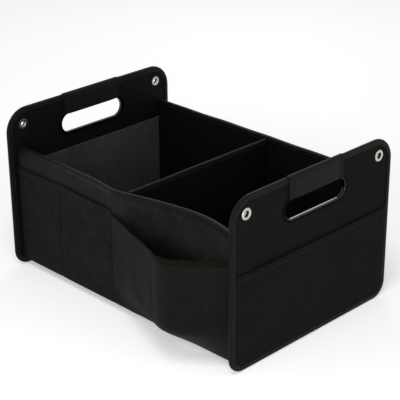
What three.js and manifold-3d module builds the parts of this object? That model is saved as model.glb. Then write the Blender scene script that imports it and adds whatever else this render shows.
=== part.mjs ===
// Collapsible car trunk organizer: two tall end panels with handle slots and eyelets, two soft
// walls on stiffener boards, a two-part base, a lift-out divider and pockets along the front.
// Millimetres. +X runs along the length to the near end, +Y to the back, +Z up.
import * as THREE from "three";
import { mergeVertices } from "three/addons/utils/BufferGeometryUtils.js";
import Module from "manifold-3d";

const wasm = await Module();
wasm.setup();

// Overall sizes
const length = 560; // between the middles of the two end panels
const panelDepth = 400;
const panelHeight = 311;
const wallInset = 21; // from the edge of a panel to the outer face of a wall
const wallDrop = 71; // from the top of a panel to the top of a wall

// Material thicknesses
const sheet = 0.8; // one layer of fabric
const endBoard = 3;
const wallBoard = 2.4;
const baseBoard = 2.4;
const dividerBoard = 2.4;
const tape = 0.9; // binding tape
const gap = 0.3; // between pieces that lie against each other
const wallGap = 0.8; // between the layers of a soft wall, which bend together

// End panels
const topRadius = 45;
const bottomRadius = 30;
const tapeWidth = 10; // of the binding, on each face
const slipPocketDrop = 134; // from the top of a panel to the edge of its outer pocket
const innerPocketDrop = 108; // from the top of a panel to the edge of its inner pocket
const eyeletFromSide = 35;
const eyeletFromTop = 31;
const eyeletBore = 9;
const eyeletRim = 21;
const eyeletBarrel = 0.6;
const eyeletLip = 1.1; // height of the rolled rim
const washer = 0.7;

// Handles
const handleLength = 150;
const handleHeight = 37;
const handleBridge = 39.5; // from the top of the slot to the top of the panel
const trimRim = 6; // width of the trim's rim round the slot
const trimBarrel = 1.5;
const wrapLength = 134;
const wrap = 1;

// Walls
const wallTapeWidth = 10;
const firstSeam = 127; // from the far end of the wall
const secondSeam = 269; // from the far end of the wall
const leanOut = 11; // top of the front wall at the second seam, beyond its foot
const bowIn = 26; // top of the front wall, drawn in behind the net pocket
const bowSkew = 1.3; // above 1, the deepest place of the bow lies nearer the near end
const bendStep = 18; // of the grid that all layers of the bent wall share
const bendRows = 4;
const gridMargin = 1; // least width of a cell of the grid beside a piece's end

// Front pockets
const pocketDrop = 40; // from the top of the wall to the edge of the flat pocket
const hemWidth = 14;
const hem = 1.6; // thickness of a folded hem
const gussetDrop = 48; // from the top of the wall to where the net pocket leaves the second seam
const netPocketDrop = 39; // from the top of the wall to the edge of the net pocket
const bulgeRadius = 48;
const bulgeFromNear = 103; // middle of the bulge, from the near end of the wall
const bulgeOut = 26; // middle of the bulge, in front of the wall's outer face
const bulgeKnee = 66; // height where the bulge starts to tuck back to the wall's foot
const kneeRound = 9;
const net = 1;
const bandWidth = 12;
const band = 1.6;
const meshWidth = 14; // of one opening with its strand
const meshHeight = 21;
const meshStrand = 2.6;
const meshMargin = 6; // plain edge round the openings
const meshCutDepth = 8; // reaches through the net from both sides

// Divider
const dividerFromSeam = 25;
const dividerDrop = 3; // from the top of the wall to the top of the divider
const hookWidth = 25;
const hook = 1.4;
const loopWidth = 32;
const loop = 1.2;
const tapeInset = 6; // of the hook and loop tapes, above the base

// Smoothness of round outlines
const probe = 0.5; // distance each way over which a direction is measured
const arcSteps = 5;
const ringSteps = 16;
const gussetSteps = 5;
const bulgeSteps = 6;
const nearSteps = 4;

// Heights of the upper edges
const wallTop = panelHeight - wallDrop;
const slipPocketTop = panelHeight - slipPocketDrop;
const innerPocketTop = panelHeight - innerPocketDrop;
const pocketTop = wallTop - pocketDrop;
const gussetTop = wallTop - gussetDrop;
const netPocketTop = wallTop - netPocketDrop;
const dividerTop = wallTop - dividerDrop;

// Layers of an end panel, from its middle plane outwards
const coverBack = endBoard / 2 + gap;
const coverFace = coverBack + sheet;
const overCover = coverFace + gap;
const tapeFace = overCover + tape;
const wrapBack = tapeFace + gap;

// Layers of a wall, as distances from the middle plane of the box
const wallOuter = panelDepth / 2 - wallInset;
const wallCoverBack = wallOuter - sheet;
const wallBoardOuter = wallCoverBack - wallGap;
const wallBoardInner = wallBoardOuter - wallBoard;
const liningOuter = wallBoardInner - wallGap;
const wallInner = liningOuter - sheet;
const loopBack = wallInner - wallGap;
const loopFace = loopBack - loop;
const hookBack = loopFace - wallGap;
const hookFace = hookBack - hook;

// Layers of the base, as heights. Its corners lie just above the binding's bottom corners.
const cornerOut = wallOuter - (panelDepth / 2 - bottomRadius);
const cornerRadius = bottomRadius - tapeWidth;
const cornerRise = Math.sqrt(Math.max(0, cornerRadius ** 2 - Math.max(0, cornerOut) ** 2));
const footHeight = bottomRadius - cornerRise + gap;
const baseCoverTop = footHeight + sheet;
const wallFoot = baseCoverTop + gap;
const baseBoardTop = wallFoot + baseBoard;
const baseLiningFoot = baseBoardTop + gap;
const baseTop = baseLiningFoot + sheet;
const floorLine = baseTop + gap;

// Places along the length
const panelMiddle = length / 2;
const wallEnd = panelMiddle - coverFace - gap;
const firstSeamX = firstSeam - wallEnd;
const secondSeamX = secondSeam - wallEnd;
const dividerX = secondSeamX + dividerFromSeam;

const colours = {
  cover: { color: 0x232323, roughness: 0.85, metalness: 0 },
  lining: { color: 0x161616, roughness: 0.8, metalness: 0 },
  greyLining: { color: 0x303130, roughness: 0.85, metalness: 0 },
  binding: { color: 0x1d1c1b, roughness: 0.75, metalness: 0 },
  wrap: { color: 0x2a2522, roughness: 0.6, metalness: 0 },
  board: { color: 0x2b2b2d, roughness: 0.6, metalness: 0 },
  trim: { color: 0x0c0c0c, roughness: 0.2, metalness: 0 },
  metal: { color: 0xb9b6ae, roughness: 0.25, metalness: 1 },
  band: { color: 0x23221c, roughness: 0.8, metalness: 0 },
  net: { color: 0x111111, roughness: 0.7, metalness: 0 },
  hookTape: { color: 0x101010, roughness: 0.95, metalness: 0 },
};

const axisX = new THREE.Vector3(1, 0, 0);
const axisY = new THREE.Vector3(0, 1, 0);
const axisZ = new THREE.Vector3(0, 0, 1);

const organizer = new THREE.Group();

function place(name, geometry, colour) {
  const mesh = new THREE.Mesh(geometry, new THREE.MeshStandardMaterial(colours[colour]));
  mesh.name = name;
  organizer.add(mesh);
  return mesh;
}

// Joins and cuts

function toSolid(geometry) {
  const bare = geometry.clone();
  bare.deleteAttribute("normal");
  bare.deleteAttribute("uv");
  const merged = mergeVertices(bare, 1e-4);
  return new wasm.Manifold(
    new wasm.Mesh({
      numProp: 3,
      vertProperties: new Float32Array(merged.getAttribute("position").array),
      triVerts: new Uint32Array(merged.index.array),
    }),
  );
}

function toGeometry(solid) {
  const mesh = solid.getMesh();
  const geometry = new THREE.BufferGeometry();
  geometry.setAttribute("position", new THREE.BufferAttribute(mesh.vertProperties, 3));
  geometry.setIndex(new THREE.BufferAttribute(mesh.triVerts, 1));
  geometry.computeVertexNormals();
  return geometry;
}

function join(...geometries) {
  return toGeometry(geometries.map(toSolid).reduce((a, b) => a.add(b)));
}

function cut(geometry, ...cutters) {
  return toGeometry(cutters.map(toSolid).reduce((a, b) => a.subtract(b), toSolid(geometry)));
}

// Outlines in the Y-Z plane

function polygon(points) {
  return new THREE.Shape(points.map(([y, z]) => new THREE.Vector2(y, z)));
}

function rectangle(y0, y1, z0, z1) {
  return polygon([[y0, z0], [y1, z0], [y1, z1], [y0, z1]]);
}

// The outline of an end panel, drawn in from its edge; a lower top leaves its corners square.
function panelOutline(inset, top = null) {
  const half = panelDepth / 2 - inset;
  const low = bottomRadius - inset;
  const high = topRadius - inset;
  const shape = new THREE.Shape();
  shape.moveTo(-half + low, inset);
  shape.lineTo(half - low, inset);
  shape.absarc(half - low, inset + low, low, -Math.PI / 2, 0);
  if (top === null) {
    const crown = panelHeight - inset;
    shape.lineTo(half, crown - high);
    shape.absarc(half - high, crown - high, high, 0, Math.PI / 2);
    shape.lineTo(-half + high, crown);
    shape.absarc(-half + high, crown - high, high, Math.PI / 2, Math.PI);
  } else {
    shape.lineTo(half, top);
    shape.lineTo(-half, top);
  }
  shape.lineTo(-half, inset + low);
  shape.absarc(-half + low, inset + low, low, Math.PI, 1.5 * Math.PI);
  return shape;
}

// The outline of the handle slot, grown outwards
function slotOutline(grow) {
  const radius = handleHeight / 2 + grow;
  const reach = handleLength / 2 - handleHeight / 2;
  const middle = panelHeight - handleBridge - handleHeight / 2;
  const shape = new THREE.Shape();
  shape.moveTo(-reach, middle - radius);
  shape.lineTo(reach, middle - radius);
  shape.absarc(reach, middle, radius, -Math.PI / 2, Math.PI / 2);
  shape.lineTo(-reach, middle + radius);
  shape.absarc(-reach, middle, radius, Math.PI / 2, 1.5 * Math.PI);
  return shape;
}

const eyeletY = panelDepth / 2 - eyeletFromSide;
const eyeletZ = panelHeight - eyeletFromTop;

function eyeletOutline(side, radius) {
  const shape = new THREE.Shape();
  shape.absarc(side * eyeletY, eyeletZ, radius, 0, 2 * Math.PI);
  return shape;
}

// Solids

// A Y-Z outline run along X from one place to another
function alongX(shape, x0, x1, steps = 1) {
  const geometry = new THREE.ExtrudeGeometry(shape, {
    depth: x1 - x0,
    steps,
    bevelEnabled: false,
    curveSegments: arcSteps,
  });
  geometry.applyMatrix4(new THREE.Matrix4().makeBasis(axisY, axisZ, axisX));
  return geometry.translate(x0, 0, 0);
}

// An X-Z outline run along Y, centred on the middle plane of the box
function acrossY(points, width) {
  const geometry = new THREE.ExtrudeGeometry(polygon(points), { depth: width, bevelEnabled: false });
  const turn = new THREE.Matrix4().makeBasis(axisX, axisZ, axisY.clone().negate());
  return geometry.applyMatrix4(turn).translate(0, width / 2, 0);
}

// An inverted U between two faces, with the wall thickness of a tape
function saddle(inner0, inner1, foot, top, thickness) {
  return [
    [inner0 - thickness, foot],
    [inner0, foot],
    [inner0, top - thickness],
    [inner1, top - thickness],
    [inner1, foot],
    [inner1 + thickness, foot],
    [inner1 + thickness, top],
    [inner0 - thickness, top],
  ];
}

// End panels

const layerInset = tape + gap;

// A flat layer of an end panel with its handle slot and its two eyelet holes
function endLayer(x0, x1) {
  const shape = panelOutline(layerInset);
  shape.holes.push(slotOutline(trimBarrel + gap));
  for (const side of [-1, 1]) {
    shape.holes.push(eyeletOutline(side, eyeletBore / 2 + eyeletBarrel + gap));
  }
  return alongX(shape, x0, x1);
}

function endBinding() {
  const ring = panelOutline(0);
  ring.holes.push(panelOutline(tapeWidth));
  const groove = alongX(panelOutline(tape), -overCover, overCover);
  return cut(alongX(ring, -tapeFace, tapeFace), groove);
}

function handleTrim() {
  const barrel = slotOutline(trimBarrel);
  barrel.holes.push(slotOutline(0));
  const rim = slotOutline(trimRim);
  rim.holes.push(slotOutline(0));
  return join(
    alongX(barrel, -tapeFace, tapeFace),
    alongX(rim, overCover, tapeFace),
    alongX(rim, -tapeFace, -overCover),
  );
}

function handleWrap() {
  const foot = panelHeight - handleBridge;
  return acrossY(saddle(-wrapBack, wrapBack, foot, panelHeight + gap + wrap, wrap), wrapLength);
}

// A ring turned about the X axis, from a closed profile of radius and place along the axis
function turned(profile) {
  const points = profile.map(([radius, along]) => new THREE.Vector2(radius, along));
  points.push(points[0].clone());
  return new THREE.LatheGeometry(points, ringSteps).rotateZ(-Math.PI / 2);
}

// The eyelet's rolled rim lies on the outer face, and its barrel reaches through to the washer.
function eyelet() {
  const bore = eyeletBore / 2;
  const barrel = bore + eyeletBarrel;
  const rim = eyeletRim / 2;
  const crown = overCover + eyeletLip;
  return turned([
    [bore, -overCover - washer],
    [barrel, -overCover - washer],
    [barrel, overCover],
    [rim, overCover],
    [rim - eyeletLip / 2, crown],
    [bore + eyeletLip, crown],
    [bore, crown - eyeletLip / 2],
  ]);
}

function eyeletWasher() {
  const hole = eyeletBore / 2 + eyeletBarrel + gap;
  const rim = eyeletRim / 2;
  return turned([
    [hole, -overCover - washer],
    [rim - washer / 2, -overCover - washer],
    [rim, -overCover],
    [hole, -overCover],
  ]);
}

// All shapes of an end are made for the near end, whose outer face looks along +X.
function addEnd(name, facing) {
  const toEnd = (geometry) => {
    const turnedEnd = facing > 0 ? geometry : geometry.rotateZ(Math.PI);
    return turnedEnd.translate(facing * panelMiddle, 0, 0);
  };
  place(name + "_end_board", toEnd(endLayer(-endBoard / 2, endBoard / 2)), "board");
  place(name + "_end_outer_cover", toEnd(endLayer(coverBack, coverFace)), "cover");
  place(name + "_end_inner_cover", toEnd(endLayer(-coverFace, -coverBack)), "lining");
  place(name + "_end_binding", toEnd(endBinding()), "binding");
  const slipPocket = alongX(panelOutline(tapeWidth + gap, slipPocketTop), overCover, overCover + sheet);
  place(name + "_end_slip_pocket", toEnd(slipPocket), "cover");
  const reach = wallInner - gap;
  const innerPocket = rectangle(-reach, reach, floorLine, innerPocketTop);
  place(name + "_end_inner_pocket", toEnd(alongX(innerPocket, -overCover - sheet, -overCover)), "greyLining");
  place(name + "_handle_trim", toEnd(handleTrim()), "trim");
  place(name + "_handle_wrap", toEnd(handleWrap()), "wrap");
  for (const side of [-1, 1]) {
    const which = side < 0 ? "front" : "back";
    const y = side * eyeletY;
    const atEyelet = (geometry) => {
      const faced = facing > 0 ? geometry : geometry.rotateZ(Math.PI);
      return faced.translate(facing * panelMiddle, y, eyeletZ);
    };
    place(name + "_eyelet_" + which, atEyelet(eyelet()), "metal");
    place(name + "_washer_" + which, atEyelet(eyeletWasher()), "metal");
  }
}

// Walls

// How far the top of the front wall stands out from its foot at a place along the length
function frontLean(x) {
  if (x <= secondSeamX) {
    return leanOut * ((x + wallEnd) / secondSeam) ** 3;
  }
  const along = (x - secondSeamX) / (wallEnd - secondSeamX);
  return leanOut * (1 - along) - bowIn * Math.sin(Math.PI * along ** bowSkew);
}

// How far a wall stands out at a place and a height; the back wall is straight.
function wallShift(side, x, z) {
  return side < 0 ? (frontLean(x) * (z - footHeight)) / (wallTop - footHeight) : 0;
}

function followFront(geometry) {
  const position = geometry.getAttribute("position");
  for (let i = 0; i < position.count; i += 1) {
    const shift = wallShift(-1, position.getX(i), position.getZ(i));
    position.setY(i, position.getY(i) - shift);
  }
  geometry.computeVertexNormals();
  return geometry;
}

// All layers of the front wall bend on one grid, so that they stay parallel.
function gridStations(x0, x1) {
  const first = Math.ceil((x0 + gridMargin - secondSeamX) / bendStep);
  const last = Math.floor((x1 - gridMargin - secondSeamX) / bendStep);
  const inside = Array.from({ length: last - first + 1 }, (_, i) => secondSeamX + (first + i) * bendStep);
  return [x0, ...inside, x1];
}

// Adds a corner to an outline wherever one of its edges crosses a row of the grid.
function withRows(points) {
  const rowHeight = (wallTop - footHeight) / bendRows;
  return points.flatMap(([out, z], i) => {
    const [nextOut, nextZ] = points[(i + 1) % points.length];
    const crossings = [];
    for (let row = 1; row < bendRows; row += 1) {
      const t = (footHeight + row * rowHeight - z) / (nextZ - z);
      if (t > 0 && t < 1) {
        crossings.push(t);
      }
    }
    crossings.sort((a, b) => a - b);
    return [[out, z], ...crossings.map((t) => [out + t * (nextOut - out), z + t * (nextZ - z)])];
  });
}

// A wall piece of one outline, given as distances out from the middle plane and heights
function wallRun(side, points, x0, x1) {
  if (side > 0) {
    return alongX(polygon(points), x0, x1);
  }
  const shape = polygon(withRows(points).map(([out, z]) => [-out, z]));
  const stations = gridStations(x0, x1);
  const geometry = alongX(shape, 0, stations.length - 1, stations.length - 1);
  const position = geometry.getAttribute("position");
  for (let i = 0; i < position.count; i += 1) {
    position.setX(i, stations[Math.round(position.getX(i))]);
  }
  return followFront(geometry);
}

function wholeWallRun(side, points) {
  return wallRun(side, points, -wallEnd, wallEnd);
}

function slab(inner, outer, foot, top) {
  return [[inner, foot], [outer, foot], [outer, top], [inner, top]];
}

const layerTop = wallTop - tape - wallGap;

function addWall(name, side) {
  const boards = [
    ["far", -wallEnd + gap, firstSeamX - gap],
    ["mid", firstSeamX + gap, secondSeamX - gap],
    ["near", secondSeamX + gap, wallEnd - gap],
  ];
  for (const [which, x0, x1] of boards) {
    const board = wallRun(side, slab(wallBoardInner, wallBoardOuter, wallFoot, layerTop), x0, x1);
    place(name + "_wall_board_" + which, board, "board");
  }
  const cover = slab(wallCoverBack, wallOuter, wallFoot, layerTop);
  place(name + "_wall_cover", wholeWallRun(side, cover), "cover");
  const lining = slab(wallInner, liningOuter, wallFoot, layerTop);
  place(name + "_wall_lining", wholeWallRun(side, lining), "lining");
  const binding = saddle(wallInner - wallGap, wallOuter + wallGap, wallTop - wallTapeWidth, wallTop, tape);
  place(name + "_wall_binding", wholeWallRun(side, binding), "binding");
  const loopTop = wallTop - wallTapeWidth - tapeInset;
  const loopTape = slab(loopFace, loopBack, floorLine + tapeInset, loopTop);
  const loopRun = wallRun(side, loopTape, dividerX - loopWidth / 2, dividerX + loopWidth / 2);
  place(name + "_loop_tape", loopRun, "hookTape");
}

// Base

function addBase() {
  place(
    "base_cover",
    alongX(rectangle(-wallOuter, wallOuter, footHeight, baseCoverTop), -wallEnd, wallEnd),
    "cover",
  );
  const inside = wallInner - wallGap;
  const boardOutline = rectangle(-inside, inside, wallFoot, baseBoardTop);
  place("base_board_far", alongX(boardOutline, -wallEnd, -gap), "board");
  place("base_board_near", alongX(boardOutline, gap, wallEnd), "board");
  const liningOutline = rectangle(-inside, inside, baseLiningFoot, baseTop);
  place("base_lining", alongX(liningOutline, -wallEnd, wallEnd), "lining");
}

// Front pockets

// The flat pocket sheet has a folded hem and is sewn through the wall at both seams.
function frontPocketPanel() {
  const back = wallOuter + wallGap;
  const outline = [
    [back, wallFoot],
    [back + sheet, wallFoot],
    [back + sheet, pocketTop - hemWidth],
    [back + hem, pocketTop - hemWidth + sheet],
    [back + hem, pocketTop],
    [back, pocketTop],
  ];
  return wallRun(-1, outline, -wallEnd, secondSeamX - gap);
}

// The net pocket is drawn taut round an upright bulge: a straight run from the seam, an arc,
// and a straight run back to the near end of the wall.
const pocketBack = wallOuter + wallGap;
const seamSide = new THREE.Vector2(
  secondSeamX + gap,
  -pocketBack - wallShift(-1, secondSeamX + gap, gussetTop),
);
const nearSide = new THREE.Vector2(wallEnd - net, -pocketBack);
const bulge = new THREE.Vector2(wallEnd - bulgeFromNear, -wallOuter - bulgeOut);

function tangentAngle(point, turn) {
  const reach = point.distanceTo(bulge);
  const bearing = Math.atan2(point.y - bulge.y, point.x - bulge.x);
  return bearing + turn * Math.acos(bulgeRadius / reach);
}

const arcStart = tangentAngle(seamSide, 1) - 2 * Math.PI;
const arcEnd = tangentAngle(nearSide, -1);

function onBulge(angle) {
  return new THREE.Vector2(Math.cos(angle), Math.sin(angle)).multiplyScalar(bulgeRadius).add(bulge);
}

const gussetRun = seamSide.distanceTo(onBulge(arcStart));
const arcRun = bulgeRadius * (arcEnd - arcStart);
const nearRun = onBulge(arcEnd).distanceTo(nearSide);
const pocketRun = gussetRun + arcRun + nearRun;

// A place on the pocket's plan line, at a distance from the seam
function planPoint(distance) {
  if (distance < gussetRun) {
    return seamSide.clone().lerp(onBulge(arcStart), distance / gussetRun);
  }
  if (distance < gussetRun + arcRun) {
    return onBulge(arcStart + (distance - gussetRun) / bulgeRadius);
  }
  return onBulge(arcEnd).lerp(nearSide, (distance - gussetRun - arcRun) / nearRun);
}

// Height of the pocket's upper edge: it rises along the gusset and then runs level.
function pocketEdge(distance) {
  const rise = Math.min(1, distance / gussetRun);
  return gussetTop + (netPocketTop - gussetTop) * rise;
}

// A point of the pocket at a height; below the knee it tucks back to the foot of the wall.
function pocketPoint(distance, z) {
  const plan = planPoint(distance);
  const atSeam = Math.max(0, 1 - distance / gussetRun);
  const seamShift = wallShift(-1, seamSide.x, gussetTop) - wallShift(-1, seamSide.x, z);
  const y = plan.y + atSeam * seamShift;
  const footX = seamSide.x + (distance / pocketRun) * (nearSide.x - seamSide.x);
  const tuck = Math.min(1, (z - wallFoot) / (bulgeKnee - wallFoot));
  return new THREE.Vector3(footX + tuck * (plan.x - footX), -pocketBack + tuck * (y + pocketBack), z);
}

// Evenly spaced places along one stretch of the pocket
function stretch(start, end, steps) {
  return Array.from({ length: steps }, (_, i) => start + ((i + 1) * (end - start)) / steps);
}

// A thin solid over part of the pocket, between its columns and its rows
function pocketSheet(columns, rows, thickness) {
  const across = columns.length - 1;
  const up = rows.length - 1;
  const geometry = new THREE.BoxGeometry(1, 1, 1, across, up, 1).translate(0.5, 0.5, 0.5);
  const position = geometry.getAttribute("position");
  for (let i = 0; i < position.count; i += 1) {
    const distance = columns[Math.round(position.getX(i) * across)];
    const z = rows[Math.round(position.getY(i) * up)](distance);
    const before = pocketPoint(distance - probe, z);
    const after = pocketPoint(distance + probe, z);
    const below = pocketPoint(distance, z - probe);
    const above = pocketPoint(distance, z + probe);
    const normal = after.sub(before).cross(above.sub(below)).normalize();
    const point = pocketPoint(distance, z).addScaledVector(normal, thickness * position.getZ(i));
    position.setXYZ(i, point.x, point.y, point.z);
  }
  geometry.computeVertexNormals();
  return geometry;
}

const rowFoot = () => wallFoot;
const rowKneeStart = () => bulgeKnee - kneeRound;
const rowKneeEnd = () => bulgeKnee + kneeRound;

// The net's openings are upright diamonds in staggered rows on its upright part.
function meshCutters() {
  const cutters = [];
  const start = gussetRun + meshMargin + meshWidth / 2;
  const end = pocketRun - meshMargin - meshWidth / 2;
  const low = bulgeKnee + kneeRound + meshHeight / 2;
  const high = netPocketTop - bandWidth - gap - meshMargin - meshHeight / 2;
  const rows = Math.floor((high - low) / (meshHeight / 2)) + 1;
  for (let row = 0; row < rows; row += 1) {
    const z = low + (row * meshHeight) / 2;
    const first = start + (row % 2 ? meshWidth / 2 : 0);
    for (let distance = first; distance <= end; distance += meshWidth) {
      const here = planPoint(distance);
      const along = planPoint(distance + probe).sub(planPoint(distance - probe)).normalize();
      const diamond = new THREE.CylinderGeometry(1, 1, meshCutDepth, 4).rotateX(Math.PI / 2);
      diamond.scale((meshWidth - meshStrand) / 2, (meshHeight - meshStrand) / 2, 1);
      const across = new THREE.Vector3(along.y, -along.x, 0);
      const turn = new THREE.Matrix4().makeBasis(new THREE.Vector3(along.x, along.y, 0), axisZ, across);
      cutters.push(diamond.applyMatrix4(turn).translate(here.x, here.y, z));
    }
  }
  return cutters;
}

function addFrontPockets() {
  place("front_pocket_panel", frontPocketPanel(), "cover");
  const gussetColumns = [gap, ...stretch(gap, gussetRun - gap, gussetSteps)];
  const gussetRows = [rowFoot, rowKneeStart, rowKneeEnd, pocketEdge];
  place("net_pocket_gusset", pocketSheet(gussetColumns, gussetRows, sheet), "cover");
  const netColumns = [
    gussetRun + gap,
    ...stretch(gussetRun + gap, gussetRun + arcRun, bulgeSteps),
    ...stretch(gussetRun + arcRun, pocketRun - gap, nearSteps),
  ];
  const netTop = (distance) => pocketEdge(distance) - bandWidth - gap;
  const plainNet = pocketSheet(netColumns, [rowFoot, rowKneeStart, rowKneeEnd, netTop], net);
  place("net_pocket_net", cut(plainNet, ...meshCutters()), "net");
  const bandFoot = (distance) => pocketEdge(distance) - bandWidth;
  place("net_pocket_band", pocketSheet(netColumns, [bandFoot, pocketEdge], band), "band");
}

// Divider

// The divider's ends follow the walls, clear of the tapes that hold it.
function dividerOutline(foot, top) {
  const inner = hookFace - gap;
  const reach = dividerBoard / 2 + gap + sheet;
  const end = (side, z) => {
    const shifts = [-reach, reach].map((offset) => wallShift(side, dividerX + offset, z));
    return side * (inner + Math.min(...shifts));
  };
  return polygon([[end(-1, foot), foot], [end(1, foot), foot], [end(1, top), top], [end(-1, top), top]]);
}

function addDivider() {
  const board = dividerBoard / 2;
  const faceBack = board + gap;
  const face = faceBack + sheet;
  const top = dividerTop - tape - gap;
  const atDivider = (geometry) => geometry.translate(dividerX, 0, 0);
  const outline = dividerOutline(floorLine, top);
  place("divider_board", atDivider(alongX(outline, -board, board)), "board");
  place("divider_cover_far", atDivider(alongX(outline, -face, -faceBack)), "lining");
  place("divider_cover_near", atDivider(alongX(outline, faceBack, face)), "lining");
  const width = 2 * (hookFace - gap);
  const bindingOutline = saddle(-face - gap, face + gap, dividerTop - tapeWidth, dividerTop, tape);
  place("divider_binding", atDivider(acrossY(bindingOutline, width)), "binding");
  for (const [name, side] of [["front", -1], ["back", 1]]) {
    const low = floorLine + tapeInset;
    const high = dividerTop - tapeWidth - tapeInset;
    const outlineHook = slab(hookFace, hookBack, low, high);
    const run = wallRun(side, outlineHook, dividerX - hookWidth / 2, dividerX + hookWidth / 2);
    place("divider_hook_" + name, run, "hookTape");
  }
}

addEnd("far", -1);
addEnd("near", 1);
addWall("front", -1);
addWall("back", 1);
addBase();
addFrontPockets();
addDivider();

// The origin is under the middle of the whole outline, on the surface that the feet stand on.
const bounds = new THREE.Box3().setFromObject(organizer);
const middle = bounds.getCenter(new THREE.Vector3());
organizer.position.set(-middle.x, -middle.y, -bounds.min.z);

export default organizer;
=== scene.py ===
"""Studio scene of a collapsible trunk organizer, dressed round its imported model.

Lengths inside the classes are millimetres in the box's own frame: x is 0 midway between the
end panels, y is 0 in the middle plane of the box and z is 0 on the floor. Meshes are written
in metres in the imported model's frame.
"""

from __future__ import annotations

import logging
import math
from collections.abc import Sequence
from dataclasses import dataclass
from enum import Enum

import bpy
import numpy as np
from mathutils import Matrix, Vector
from numpy.typing import NDArray

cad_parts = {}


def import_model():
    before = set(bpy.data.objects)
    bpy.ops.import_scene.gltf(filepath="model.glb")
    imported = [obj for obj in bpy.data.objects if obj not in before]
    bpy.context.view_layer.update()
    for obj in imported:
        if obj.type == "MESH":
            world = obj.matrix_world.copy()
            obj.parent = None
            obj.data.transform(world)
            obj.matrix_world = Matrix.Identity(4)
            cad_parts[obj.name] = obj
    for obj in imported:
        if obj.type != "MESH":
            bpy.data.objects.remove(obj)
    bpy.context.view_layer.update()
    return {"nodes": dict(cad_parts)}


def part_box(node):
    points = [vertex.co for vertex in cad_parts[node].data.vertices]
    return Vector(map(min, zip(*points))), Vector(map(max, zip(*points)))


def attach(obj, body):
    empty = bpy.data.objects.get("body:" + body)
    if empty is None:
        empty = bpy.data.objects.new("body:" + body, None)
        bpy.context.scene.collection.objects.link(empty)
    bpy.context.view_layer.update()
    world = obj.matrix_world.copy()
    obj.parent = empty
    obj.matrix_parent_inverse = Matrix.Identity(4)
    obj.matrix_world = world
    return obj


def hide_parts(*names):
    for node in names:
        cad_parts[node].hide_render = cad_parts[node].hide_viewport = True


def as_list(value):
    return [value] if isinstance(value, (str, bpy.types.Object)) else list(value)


log = logging.getLogger("organizer")

Grid = NDArray[np.float64]
Mask = NDArray[np.bool_]
Triple = tuple[float, float, float]
Profile = Sequence[tuple[float, float]]
Piece = bpy.types.Object
Socket = bpy.types.NodeSocket

MILLIMETRE = 0.001
CLOTH = "cloth"  # the UV map that holds metres along and across the cloth
BOX = "organizer"
DIVIDER = "divider"
UP: Triple = (0.0, 0.0, 1.0)
DOWN: Triple = (0.0, 0.0, -1.0)


class End(Enum):
    """The two end panels, by the sign of x of their outer faces."""

    FAR = -1
    NEAR = 1


class Side(Enum):
    """The two long walls, by the sign of y of their outer faces."""

    FRONT = -1
    BACK = 1


class Weave(Enum):
    """How the threads of a cloth cross."""

    TWILL = "twill"
    PLAIN = "plain"
    RIBBED = "ribbed"
    PILE = "pile"


# Shape tools, all on whole arrays


def smooth(value: Grid | float, low: float, high: float) -> Grid:
    """A cubic step from 0 at low to 1 at high."""
    t = np.clip((value - low) / (high - low), 0, 1)
    return t * t * (3 - 2 * t)


def placed(*parts: Grid | float) -> Grid:
    """Coordinates as one array, whose last axis is x, y, z."""
    return np.stack(np.broadcast_arrays(*parts), axis=-1)


def column(low: float, high: float, count: int) -> Grid:
    """Even steps down the rows of a grid."""
    return np.linspace(low, high, count)[:, None]


def ripples(a: Grid | float, b: Grid | float, seed: int, wave: float) -> Grid:
    """A soft irregular relief: the sum of plane sine waves with seeded turns and lengths.

    Args:
        a: First coordinate of each point.
        b: Second coordinate of each point.
        seed: Chooses the waves.
        wave: Their mean length, in the coordinates' unit.

    Returns:
        Heights with a root mean square of about 0.7.
    """
    count = 9
    draw = np.random.default_rng(seed)
    turn = draw.uniform(0, 2 * np.pi, count)
    phase = draw.uniform(0, 2 * np.pi, count)
    number = 2 * np.pi / (wave * draw.uniform(0.65, 1.7, count))
    a, b = np.broadcast_arrays(a, b)
    swing = number * (a[..., None] * np.cos(turn) + b[..., None] * np.sin(turn)) + phase
    return np.sin(swing).sum(-1) / math.sqrt(count)


def unit(vectors: Grid | Triple) -> Grid:
    """Vectors of length one along the given ones."""
    return vectors / np.maximum(np.linalg.norm(vectors, axis=-1, keepdims=True), 1e-12)


def lengths_along(line: Grid) -> Grid:
    """The distance from a line's start to each of its points."""
    return np.append(0.0, np.cumsum(np.linalg.norm(np.diff(line, axis=0), axis=1)))


def between(line: Grid, at: Grid) -> Grid:
    """Points of a line at distances from its start."""
    along = lengths_along(line)
    return np.stack([np.interp(at, along, part) for part in line.T], axis=1)


def outlined(line: Grid, count: int) -> tuple[Grid, Grid]:
    """Evenly spaced points of a closed plane line, and the way out of it.

    Args:
        line: The line's points, in turn.
        count: How many points to give.

    Returns:
        The points and unit vectors; the last point lies a step before the first.
    """
    line = np.vstack([line, line[:1]])
    points = between(line, np.linspace(0, lengths_along(line)[-1], count, endpoint=False))
    along = unit(np.roll(points, -1, axis=0) - np.roll(points, 1, axis=0))
    return points, np.stack([along[:, 1], -along[:, 0]], 1)


def rounded(polygon: Profile) -> Grid:
    """A closed profile with its corners cut twice at the quarters of each edge."""
    line = np.array(polygon, float)
    for _ in range(2):
        after = np.roll(line, -1, axis=0)
        line = np.stack([0.75 * line + 0.25 * after, 0.25 * line + 0.75 * after], 1)
        line = line.reshape(-1, 2)
    return line


def strip_section(half: float, thickness: float, count: int) -> Grid:
    """The closed section of a flat strip with rounded edges."""
    corners = [(-half, 0.0), (half, 0.0), (half, thickness), (-half, thickness)]
    return outlined(rounded(corners), count)[0]


def arc(y: float, z: float, radius: float, start: float, end: float) -> Grid:
    """Points on part of a circle, between two angles in degrees."""
    angle = np.radians(column(start, end, 40))
    return np.array([y, z]) + radius * np.hstack([np.cos(angle), np.sin(angle)])


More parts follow.
